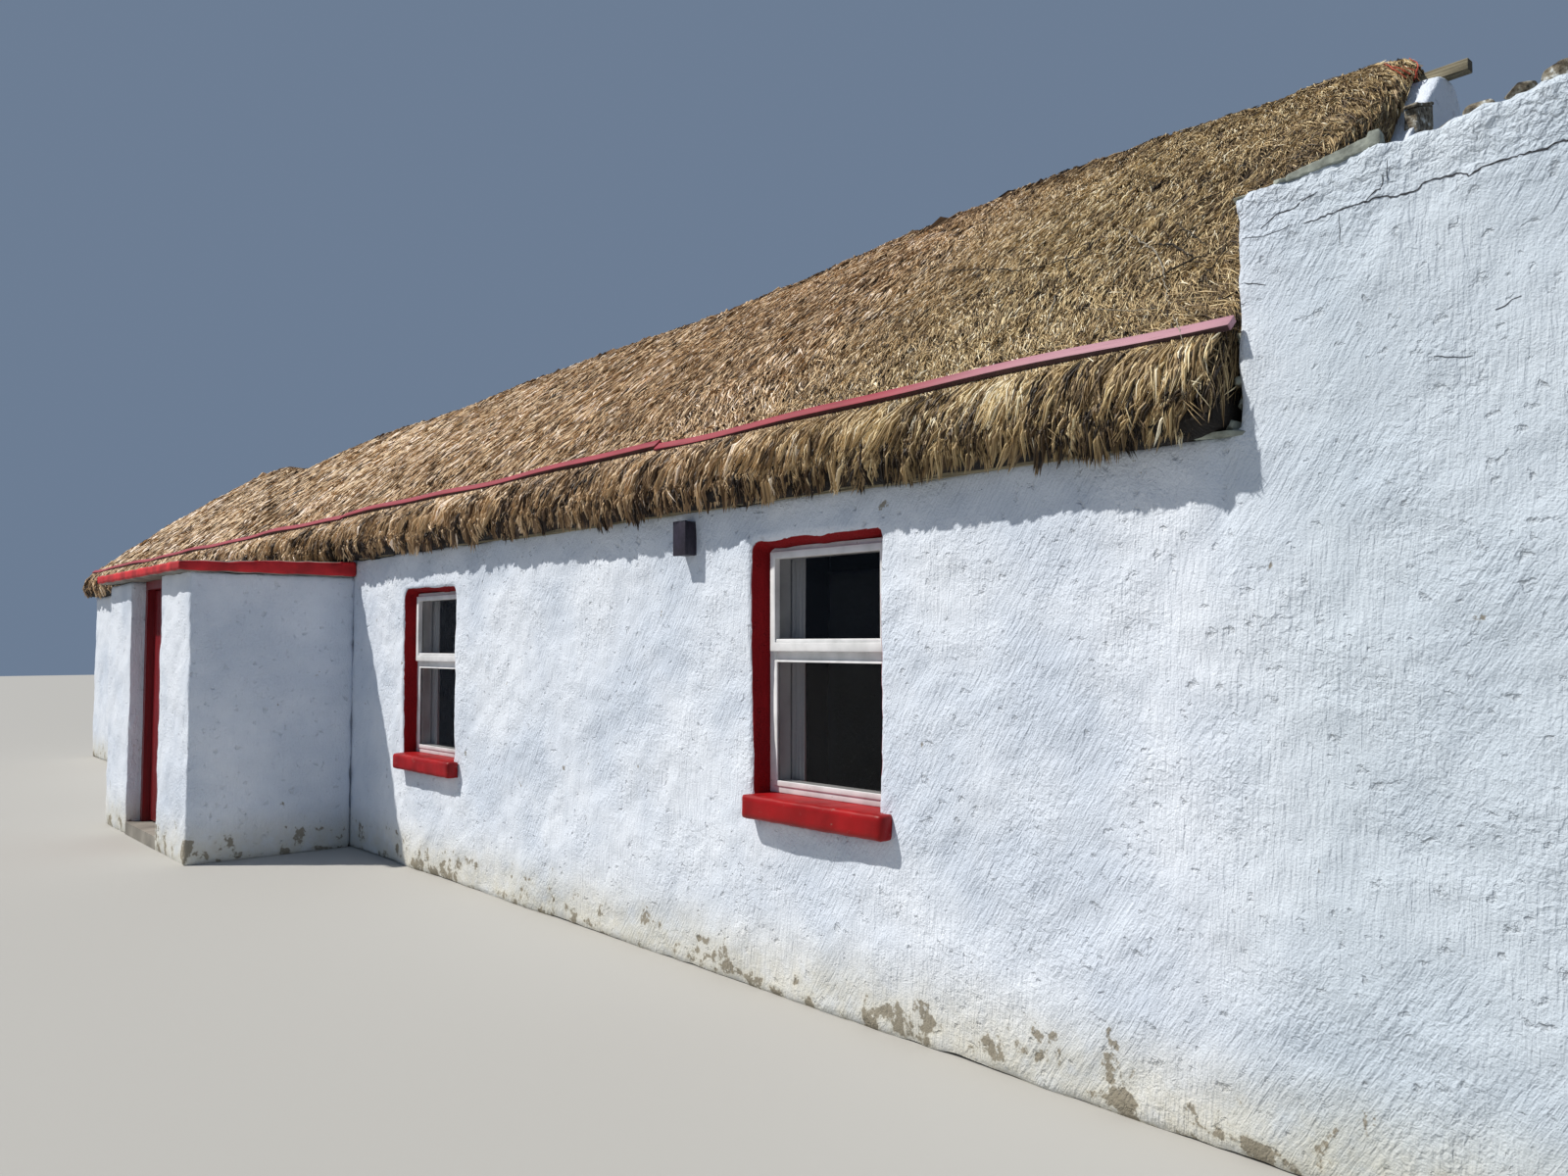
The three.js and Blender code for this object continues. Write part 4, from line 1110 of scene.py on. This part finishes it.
def locks(name, ground_piece, left, right, count, heights, width, tone_middle, side=-1,
          bare_end=PAST_ENDS):
    """Locks of straw that hang from the eave: their roots and tips lie between heights."""
    def wanted(points, normals):
        x, _, z = points.T
        band = (x > left) & (x < right) & (z > heights[0]) & (z < heights[1])
        return (band & (normals[:, 1] * side > 0.3)).astype(float)
    groups = count // LOCK
    spots, normals = spots_on(ground_piece, groups, wanted)
    tip_height = chance.uniform(heights[2], heights[3], groups) + 0.03 * drift(spots, 0.30, 5)
    drop = np.clip(spots[:, 2] - tip_height, 0.06, None)
    sway = EAVE_SWAY * (1 + 0.10 * np.clip(EAVE_END - spots[:, 0], 0, 8)) + chance.normal(0, 0.24, groups)
    standing = side * (spots[:, 1] - RIDGE_Y) - eave_reach(spots[:, 2])
    standing += chance.uniform(0.008, 0.026, groups)
    ends = spots + np.stack([sway * drop, np.zeros(groups), -drop], axis=1)
    many = np.repeat(np.arange(groups), LOCK)
    n = len(many)
    loose = np.where(chance.random(groups) < 0.35, 3.5, 1.3)[many]
    roots = spots[many] + np.stack([chance.normal(0, 4.2 * width, n), np.zeros(n),
                                    np.abs(chance.normal(0, 0.03, n))], axis=1)
    tips = ends[many] + np.stack([chance.normal(0, 1.3 * width, n) * loose,
                                  np.zeros(n),
                                  np.abs(chance.normal(0, 0.018, n)) * loose], axis=1)
    tips[:, 1] = RIDGE_Y + side * (eave_reach(tips[:, 2]) + standing[many]) + chance.normal(0, 0.006, n)
    outs = np.tile([0.0, float(side), 0.25], (n, 1))
    roots += outs * chance.uniform(0.002, 0.012, n)[:, None]
    widths = width * spread_out(n, 0.28, 0.45, 1.8)
    middles = (roots + tips) / 2
    bows = (eave_reach(middles[:, 2]) + standing[many] - side * (middles[:, 1] - RIDGE_Y)
            + np.abs(chance.normal(0.002, 0.005, n)))
    tuft_tone = tone_middle + 0.24 * drift(spots, 0.15, 7) + chance.normal(0, 0.19, groups)
    low_shade = 1.8 * np.clip(2.48 - spots[:, 2], 0, 0.25)
    tones = (tuft_tone - low_shade)[many] + chance.normal(0, 0.17, n)
    keep = (tips[:, 0] < bare_end) & (roots[:, 0] < bare_end)
    strands(name, roots[keep], tips[keep], outs[keep], widths[keep], bows[keep], tones[keep])


EAVE_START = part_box("thatch_front")[0][0]
for part, left, right, width, upper, upper_tone, lower, lower_tone, bare_end in (
        ("near", NEAR_PART, EAVE_END, 0.0042, 10500, 0.47, 4600, 0.38, EAVE_END + 0.03),
        ("next", NEXT_PART, NEAR_PART, 0.0060, 6600, 0.47, 2700, 0.38, PAST_ENDS),
        ("middle", MIDDLE_PART, NEXT_PART, 0.0090, 6200, 0.50, 2800, 0.42, PAST_ENDS),
        ("left", EAVE_START, MIDDLE_PART, 0.014, 4300, 0.56, 2000, 0.48, PAST_ENDS)):
    locks("eave_upper_" + part, coat, left, right, upper, EAVE_UPPER, width, upper_tone, bare_end=bare_end)
    locks("eave_lower_" + part, coat, left, right, lower, EAVE_LOWER, width, lower_tone, bare_end=bare_end)
locks("eave_back", back_coat, EAVE_START, VERGE_X, 3000, EAVE_UPPER, width=0.020, tone_middle=0.50, side=1)


# Twigs: dead stems and stretches of old baler twine that have worked up through the straw.
# Each is drawn along picture points that are cast onto the roof from the camera.
PICTURE_MIDDLE = (800, 600)
TWIG_LIFT = 0.034
TWIG_STEP = 0.03


def cast_on(spots_in_picture):
    """Points in metres just over the roof, where sight lines through picture points meet it."""
    eye = camera.matrix_world
    line = []
    for px, py in spots_in_picture:
        across = (px - PICTURE_MIDDLE[0]) / FOCAL_PIXELS
        sight = Vector((across, (PICTURE_MIDDLE[1] - py) / FOCAL_PIXELS, -1))
        hit, normal = roof_tree.ray_cast(eye.translation, (eye.to_3x3() @ sight).normalized())[:2]
        if hit:
            line.append(hit + normal * TWIG_LIFT)
    return np.array(line)


def stem(line, width):
    """A closed four-sided stem that thins towards its ends."""
    path, share = stepped(line, TWIG_STEP, 4)
    path[1:-1] += chance.normal(0, width * 0.5, (len(path) - 2, 3))
    along = unit(np.gradient(path, axis=0))
    side = unit(np.cross(along, [0.1, 0.2, 1.0]))
    up = np.cross(side, along)
    radii = width / 2 * (0.35 + 0.65 * np.sin(np.pi * share))
    points = [tuple(path[k] + way[k] * radii[k]) for k in range(len(path)) for way in (side, up, -side, -up)]
    return tube(points, 4)


DARK_TWIGS = (
    (((1172, 260), (1185, 256), (1197, 258), (1210, 264), (1220, 270)), 0.009),
    (((1172, 299), (1181, 292), (1192, 288), (1208, 280), (1225, 270), (1238, 267)), 0.008),
    (((1200, 232), (1218, 246), (1236, 260)), 0.005),
    (((1262, 199), (1251, 203), (1233, 209), (1222, 216), (1212, 224)), 0.006),
    (((1225, 296), (1240, 280), (1250, 268), (1252, 255)), 0.005),
    (((950, 286), (980, 282), (1010, 280), (1040, 283), (1065, 278), (1090, 272), (1140, 264)), 0.006),
    (((1090, 270), (1092, 280), (1094, 292)), 0.007),
)
PALE_TWIGS = (
    (((1144, 236), (1156, 245), (1167, 253), (1182, 265), (1190, 280), (1194, 300), (1195, 320)), 0.007),
    (((1070, 345), (1074, 330), (1079, 316), (1086, 300)), 0.006),
    (((1200, 330), (1207, 345), (1213, 358)), 0.005),
    (((1105, 322), (1130, 324), (1160, 325), (1185, 323)), 0.004),
)

# Dead wood left on a roof, dark where thick and silver grey where thin, and orange
# polypropylene baler twine that lies in the straw at the ridge's end.
dead_wood = mottled("dead_stem_wood", 60, 3, ((0.35, "1d1813"), (0.7, "40372c")), Roughness=0.9)
silver_wood = mottled("silvered_stem_wood", 60, 3, ((0.35, "6d675b"), (0.7, "a9a293")), Roughness=0.9)
twine = mottled("orange_polypropylene_twine", 300, 2, ((0.35, "9c3620"), (0.65, "c8553a")), Roughness=0.6)
bpy.context.view_layer.update()
TWINE = (
    (((1397, 69), (1410, 67), (1426, 64), (1437, 67), (1443, 74), (1440, 83), (1436, 92)), 0.008),
    (((1412, 74), (1424, 76), (1434, 82), (1442, 90)), 0.007),
    (((1402, 66), (1413, 72), (1421, 79), (1430, 86)), 0.006),
    (((1425, 66), (1429, 75), (1438, 79), (1446, 84)), 0.006),
)
for name, twigs, wood in (("dark_twigs", DARK_TWIGS, dead_wood), ("pale_twigs", PALE_TWIGS, silver_wood),
                          ("ridge_twine", TWINE, twine)):
    lines = [(cast_on(spots), width) for spots, width in twigs]
    piece = from_parts(name, [stem(line, width) for line, width in lines if len(line) > 1])
    hand_over(piece, wood, "weathered_timber")


# Stones: bare slate and fieldstone bedded on and in the walls. On the tall wall's top lie a
# greenish cap slab and loose stones, its left end shows rubble, and a stone under a slate is
# bonded into the gable. Places are given past the wall joint and off the front face.

# Bare fieldstone and slate: greenish grey, dull and rough.
fieldstone = mottled("bare_fieldstone_and_slate", 14, 8,
                     ((0.34, "70756e"), (0.52, "9ba299"), (0.70, "b9bbab")),
                     depth=0.012, strength=0.8, harsh=0.6, Roughness=0.85)

# Rubble that was limed once: brown stone with rests of white, darkest in its hollows as painted
# shade.
limed_rubble = mottled("once_limed_rubble", 32, 6,
                       ((0.36, "2b2620"), (0.47, "6d6454"), (0.56, "8f8a7c"), (0.64, "d4d8d6")),
                       depth=0.014, strength=0.9, harsh=0.65, Roughness=0.9)


def stone(middle, size, turn=0.0, squareness=4):
    """An angular lump of stone about a middle, turned about the upright."""
    bpy.ops.object.select_all(action="DESELECT")
    bpy.ops.mesh.primitive_ico_sphere_add(subdivisions=4, radius=1)
    lump = bpy.context.object
    points = corners(lump)
    points /= (np.abs(points) ** squareness).sum(axis=1)[:, None] ** (1 / squareness)
    for _ in range(9):
        flat = unit(chance.normal(0, 1, (1, 3)))[0]
        over = points @ flat - chance.uniform(0.80, 1.0)
        points -= np.clip(over, 0, None)[:, None] * flat
    points *= np.array(size) / 2
    turned = points.copy()
    turned[:, 0] = math.cos(turn) * points[:, 0] - math.sin(turn) * points[:, 1]
    turned[:, 1] = math.sin(turn) * points[:, 0] + math.cos(turn) * points[:, 1]
    lump.data.vertices.foreach_set("co", (turned + middle).ravel())
    return smooth(lump, STONE_ANGLE)


def wall_top(past, off_front):
    """The height of the tall wall's top at a place."""
    return under(store_face, JOINT_X + past, FRONT + off_front, start=5).z


def on_top(past, off_front, size, turn=0.0, squareness=4):
    """A stone bedded on the top of the tall wall."""
    level = wall_top(past, off_front) + size[2] / 2 - BEDDING
    return stone((JOINT_X + past, FRONT + off_front, level), size, turn, squareness)


def slab(low, high, axis, rise, thin=1.0):
    """A flat stone with broken edges that rises along an axis and is thinner where it starts."""
    piece = bar(low, high, 0.004)
    for vertex in piece.data.vertices:
        part = (vertex.co[axis] - low[axis]) / (high[axis] - low[axis])
        height = (vertex.co.z - low[2]) * (thin + (1 - thin) * part)
        vertex.co.z = low[2] + height + rise * part
    even_mesh(piece, SLAB_GRAIN)
    uneven(piece, SLAB_LUMPS, SLAB_LUMP_HEIGHT)
    settle(piece)
    return smooth(piece, STONE_ANGLE)


STONE_ANGLE = 28
BEDDING = 0.007
SLAB_GRAIN = 0.006
SLAB_LUMPS = 0.05
SLAB_LUMP_HEIGHT = 0.007
GAP_STONES = (
    (-0.006, 2.585, 0.050), (-0.012, 2.447, 0.052), (-0.004, 2.372, 0.045), (-0.045, 2.300, 0.080),
)
GAP_STONE_DEPTH = 0.07
CAP_START = 0.165
CAP_END = 0.430
CAP_THICKNESS = 0.044
cap_foot = wall_top(CAP_START, 0.03) - BEDDING
on_walls = [
    slab((JOINT_X + CAP_START, FRONT + 0.004, cap_foot),
         (JOINT_X + CAP_END, FRONT + 0.26, cap_foot + CAP_THICKNESS), 0,
         wall_top(CAP_END, 0.03) - BEDDING - cap_foot, thin=0.5),
    on_top(0.428, 0.04, (0.042, 0.08, 0.062), 0.1, squareness=9),
    on_top(0.145, 0.03, (0.05, 0.06, 0.024), 0.4),
    on_top(0.020, 0.05, (0.060, 0.10, 0.026), 0.1, squareness=8),
]
for past, height, across in GAP_STONES:
    on_walls.append(stone((JOINT_X + past, FRONT + GAP_STONE_DEPTH, height),
                          (across, 0.11, across * 0.72), 0.3))
gable_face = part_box("right_gable")[1][0]
on_walls.append(stone((JOINT_X - 0.05, FRONT + 0.022, 2.274), (0.20, 0.08, 0.020), 0.1, squareness=9))
hand_over(joined("bare_stones", on_walls), fieldstone, "slate")

GABLE_STONE_RISE = 0.068
rubble = [
    on_top(0.801, 0.05, (0.075, 0.065, 0.052), 0.5, squareness=5),
    on_top(0.893, 0.05, (0.085, 0.07, 0.056), -0.2, squareness=7),
    on_top(0.697, 0.06, (0.085, 0.07, 0.052), 0.2, squareness=3),
    on_top(0.620, 0.07, (0.060, 0.06, 0.026), 0.9, squareness=3),
    slab((gable_face - 0.04, 0.168, 3.818), (gable_face + 0.014, 0.362, 3.928), 1, GABLE_STONE_RISE),
    slab((gable_face - 0.04, 0.152, 3.924), (gable_face + 0.022, 0.356, 3.940), 1, GABLE_STONE_RISE),
]
hand_over(joined("loose_rubble", rubble), limed_rubble, "slate")


# Battens: sawn softwood strips nailed through the coat, painted red long ago. They bow a
# little, and the right end is bleached pink.
BATTEN_STEP = 0.12
BATTEN_EDGE = 0.003
BATTEN_BOW = 0.007
BATTEN_SWELL = 0.2
BATTEN_REACH = 0.022
FADE_START = WALL_END - 1.7
FADE_END = WALL_END - 0.5

# Old red oil paint on sawn softwood: chalky, split along the grain, bleached by the weather,
# and nearly black on faces turned down, which is painted shade.
old_red = finish("old_red_paint_on_sawn_softwood", Roughness=0.68)
old_map = put("Mapping", on_piece, Scale=(4, 160, 160))
old_grain = put("TexNoise", Vector=old_map, Scale=1, Detail=5, Roughness=0.7)
fade = put("MapRange", put("SeparateXYZ", on_piece).outputs["X"], FADE_START, FADE_END,
           interpolation_type="SMOOTHSTEP")
split = put("MapRange", old_grain, 0.42, 0.33, 0, 0.8)
old_facing = put("SeparateXYZ", put("NewGeometry").outputs["Normal"])
# Faces that turn downwards are nearly black: painted shade under the batten.
damp_and_underside_shade = put("MapRange", old_facing.outputs["Z"], -0.3, -0.6, 0, 0.88)
batten_colour = put("ValToRGB", put("TexNoise", Scale=3, Detail=6),
                    stops=((0.3, "841e2e"), (0.7, "9e2e40")))
for amount, layer in ((fade, "b28490"), (split, "3d1a1c"), (damp_and_underside_shade, "1f0b0d")):
    batten_colour = put("Mix", Factor=amount, A=batten_colour, B=layer, data_type="RGBA")
surface(batten_colour, old_grain, depth=0.002, strength=0.8)

for number, node in enumerate(("batten_left", "batten_middle", "batten_right", "batten_back")):
    batten = copy_of(node)
    eased(batten, BATTEN_EDGE)
    side = 1 if node == "batten_back" else -1
    up_slope = Vector((0, -side * math.cos(BATTEN_PITCH), math.sin(BATTEN_PITCH)))
    centre = Vector(frame_middle(node))
    for vertex in batten.data.vertices:
        vertex.co += up_slope * (vertex.co - centre).dot(up_slope) * BATTEN_SWELL
        if node == "batten_right" and vertex.co.x > WALL_END - 0.05:
            vertex.co.x += BATTEN_REACH
    cut_across(batten, BATTEN_STEP)
    for vertex in batten.data.vertices:
        sway = math.sin(vertex.co.x * 2.1 + number) + 0.6 * math.sin(vertex.co.x * 4.7 + 2 * number)
        vertex.co.z += BATTEN_BOW * sway
        vertex.co.y += BATTEN_BOW * 0.4 * math.sin(vertex.co.x * 3.3)
    hand_over(smooth(batten), old_red, "red_painted_timber", node)


# Porch roof: a thin concrete slab cast over the porch walls, a little uneven. Its edge has
# bright red masonry paint, and its top is left grey.
grey_top = finish("red_edged_concrete", Roughness=0.7)
top_noise = put("TexNoise", Scale=7, Detail=7)
top_grey = put("ValToRGB", top_noise, stops=((0.35, "5d5a55"), (0.65, "8f8b82")))
top_red = put("ValToRGB", top_noise, stops=((0.35, "a5161e"), (0.65, "d2242c")))
top_facing = put("SeparateXYZ", put("NewGeometry").outputs["Normal"])
top_flat = put("Math", top_facing.outputs["Z"], operation="ABSOLUTE")
top_mask = put("MapRange", top_flat, 0.75, 0.85)
top_colour = put("Mix", Factor=top_mask, A=top_red, B=top_grey, data_type="RGBA")
surface(top_colour, top_noise, depth=0.01, strength=0.6)
porch_roof = copy_of("porch_roof")
even_mesh(porch_roof, grain=0.025)
uneven(porch_roof, spacing=0.16, height=0.022)
settle(porch_roof)
hand_over(porch_roof, grey_top, "red_painted_concrete", "porch_roof")


# Door and frame: a softwood frame in the porch opening, and a leaf of upright boards nailed to
# three ledges, all under deep red oil paint, made darker still as painted shade of the porch. It
# hangs on two cranked iron straps.
BOARDS = 7
BOARD_THICKNESS = 0.024
BOARD_GAP = 0.002
BOARD_EDGE = 0.004
LEDGE_HEIGHT = 0.14
LEDGE_INSET = 0.03
EYE_PAST_LEAF = 0.034
LEAF_THICKNESS = 0.045
STRAP_HEIGHT = 0.04
STRAP_LENGTH = 0.56
STRAP_THICKNESS = 0.012
HINGE_HEIGHTS = (0.42, 1.75)
LEDGE_HEIGHTS = (0.42, 1.1, 1.75)
CRANK_FACE = 0.008
CRANK_BACK = 0.030
CRANK_LAP = 0.032
STRAP_EDGE = 0.002
EYE_RADIUS = 0.012

# Deep red oil paint, made darker still as painted shade of the porch: even, with a gloss and
# fine upright brush lines.
shaded_deep_red = mottled("deep_red_oil_paint_and_painted_shade", 1, 4, ((0.3, "640a12"), (0.7, "860f19")), depth=0.001,
                   stretch=(140, 140, 5), Roughness=0.4)
coated(shaded_deep_red, "door_frame")

door_low, door_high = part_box("door")
leaf_left = door_low[0] + EYE_PAST_LEAF
leaf_right = door_high[0]
leaf_back = door_low[1] + LEAF_THICKNESS
board_back = door_low[1] + BOARD_THICKNESS
board_width = (leaf_right - leaf_left) / BOARDS
parts = []
for i in range(BOARDS):
    left = leaf_left + i * board_width
    right = left + board_width - (BOARD_GAP if i < BOARDS - 1 else 0)
    parts.append(bar((left, *door_low[1:]), (right, board_back, door_high[2]), BOARD_EDGE))
for level in LEDGE_HEIGHTS:
    parts.append(bar((leaf_left + LEDGE_INSET, board_back, level - LEDGE_HEIGHT / 2),
                     (leaf_right - LEDGE_INSET, leaf_back, level + LEDGE_HEIGHT / 2), BOARD_EDGE))
hand_over(smooth(joined("door_leaf", parts)), shaded_deep_red, "red_painted_timber", "door", body="door")

# Forged iron under old paint: nearly black, a little rusty, with low hammer marks.
forged = mottled("painted_forged_iron", 70, 3, ((0.35, "17130f"), (0.7, "33261f")), depth=0.001,
                 strength=0.6, Roughness=0.55)
pin_x = door_low[0] + EYE_RADIUS
straps = []
for level in HINGE_HEIGHTS:
    foot, head = level - STRAP_HEIGHT / 2, level + STRAP_HEIGHT / 2
    straps.append(bar((leaf_left, leaf_back, foot),
                      (leaf_left + STRAP_LENGTH, leaf_back + STRAP_THICKNESS, head), STRAP_EDGE))
    straps.append(bar((pin_x + EYE_RADIUS * 0.75, leaf_back + CRANK_FACE, foot),
                      (leaf_left + CRANK_LAP, leaf_back + CRANK_BACK, head), STRAP_EDGE))
hand_over(joined("door_straps", straps), forged, "red_painted_timber", body="door")


# Store roof: split slates in courses on a low slope, nailed at the head, each course lapping
# the one below it.
SLATE_WIDTH = 0.27
SLATE_LENGTH = 0.42
SLATE_GAUGE = 0.19
SLATE_THICKNESS = 0.008
SLATE_GAP = 0.004
HEAD_LIFT = 0.003
TAIL_LIFT = 0.022
LEAST_SLATE = 0.03

# Split slate: blue grey and dull, paler and greener in patches.
split_slate = mottled("split_blue_slate", 5, 8, ((0.3, "33373d"), (0.55, "53585e"), (0.75, "7c7f78")),
                      depth=0.006, strength=0.6, Roughness=0.6)
coated(split_slate, "store_roof")
roof_low, roof_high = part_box("store_roof")
roof_run = roof_high[1] - roof_low[1]
ROOF_SLAB = 0.09
roof_fall = math.atan2(roof_high[2] - roof_low[2] - ROOF_SLAB, roof_run)
courses = int(roof_run / math.cos(roof_fall) / SLATE_GAUGE)
columns = int((roof_high[0] - roof_low[0]) / SLATE_WIDTH)
SLATE_FACES = ((0, 1, 3, 2), (4, 6, 7, 5), (0, 4, 5, 1), (2, 3, 7, 6), (0, 2, 6, 4), (1, 5, 7, 3))
slates = []
for course in range(courses):
    for column in range(columns + 1):
        left = roof_low[0] + (column - 0.5 * (course % 2)) * SLATE_WIDTH
        right = min(left + SLATE_WIDTH - SLATE_GAP, roof_high[0])
        left = max(left, roof_low[0])
        if right - left < LEAST_SLATE:
            continue
        tail = (course + 1) * SLATE_GAUGE + chance.normal(0, 0.003)
        head = max(tail - SLATE_LENGTH, 0.0)
        block = []
        for along, lift in ((head, HEAD_LIFT), (tail, TAIL_LIFT)):
            y = roof_low[1] + along * math.cos(roof_fall)
            z = roof_high[2] - along * math.sin(roof_fall) + lift
            block += [(side, y, z + thick) for thick in (0, SLATE_THICKNESS) for side in (left, right)]
        slates.append((block, SLATE_FACES))
hand_over(from_parts("store_slates", slates), split_slate, "slate")


# Wall box: a small moulded case with a lid that laps over its edge, screwed to the wall under
# the eave. The plastic is nearly black, with a dull gloss.
moulded = mottled("dark_moulded_plastic", 60, 4, ((0.4, "201b2a"), (0.7, "2d2637")), Roughness=0.5)
CASE_FRONT = 0.018
LID_THICKNESS = 0.017
LID_LAP = 0.003
box_low, box_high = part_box("wall_box")
case = bar((box_low[0], box_low[1] + CASE_FRONT, box_low[2]), box_high, edge=0.004)
lid = bar((box_low[0] - LID_LAP, box_low[1], box_low[2] - LID_LAP),
          (box_high[0] + LID_LAP, box_low[1] + LID_THICKNESS, box_high[2] + LID_LAP), edge=0.005)
hand_over(smooth(joined("wall_box", [case, lid])), moulded, "dark_box", "wall_box")
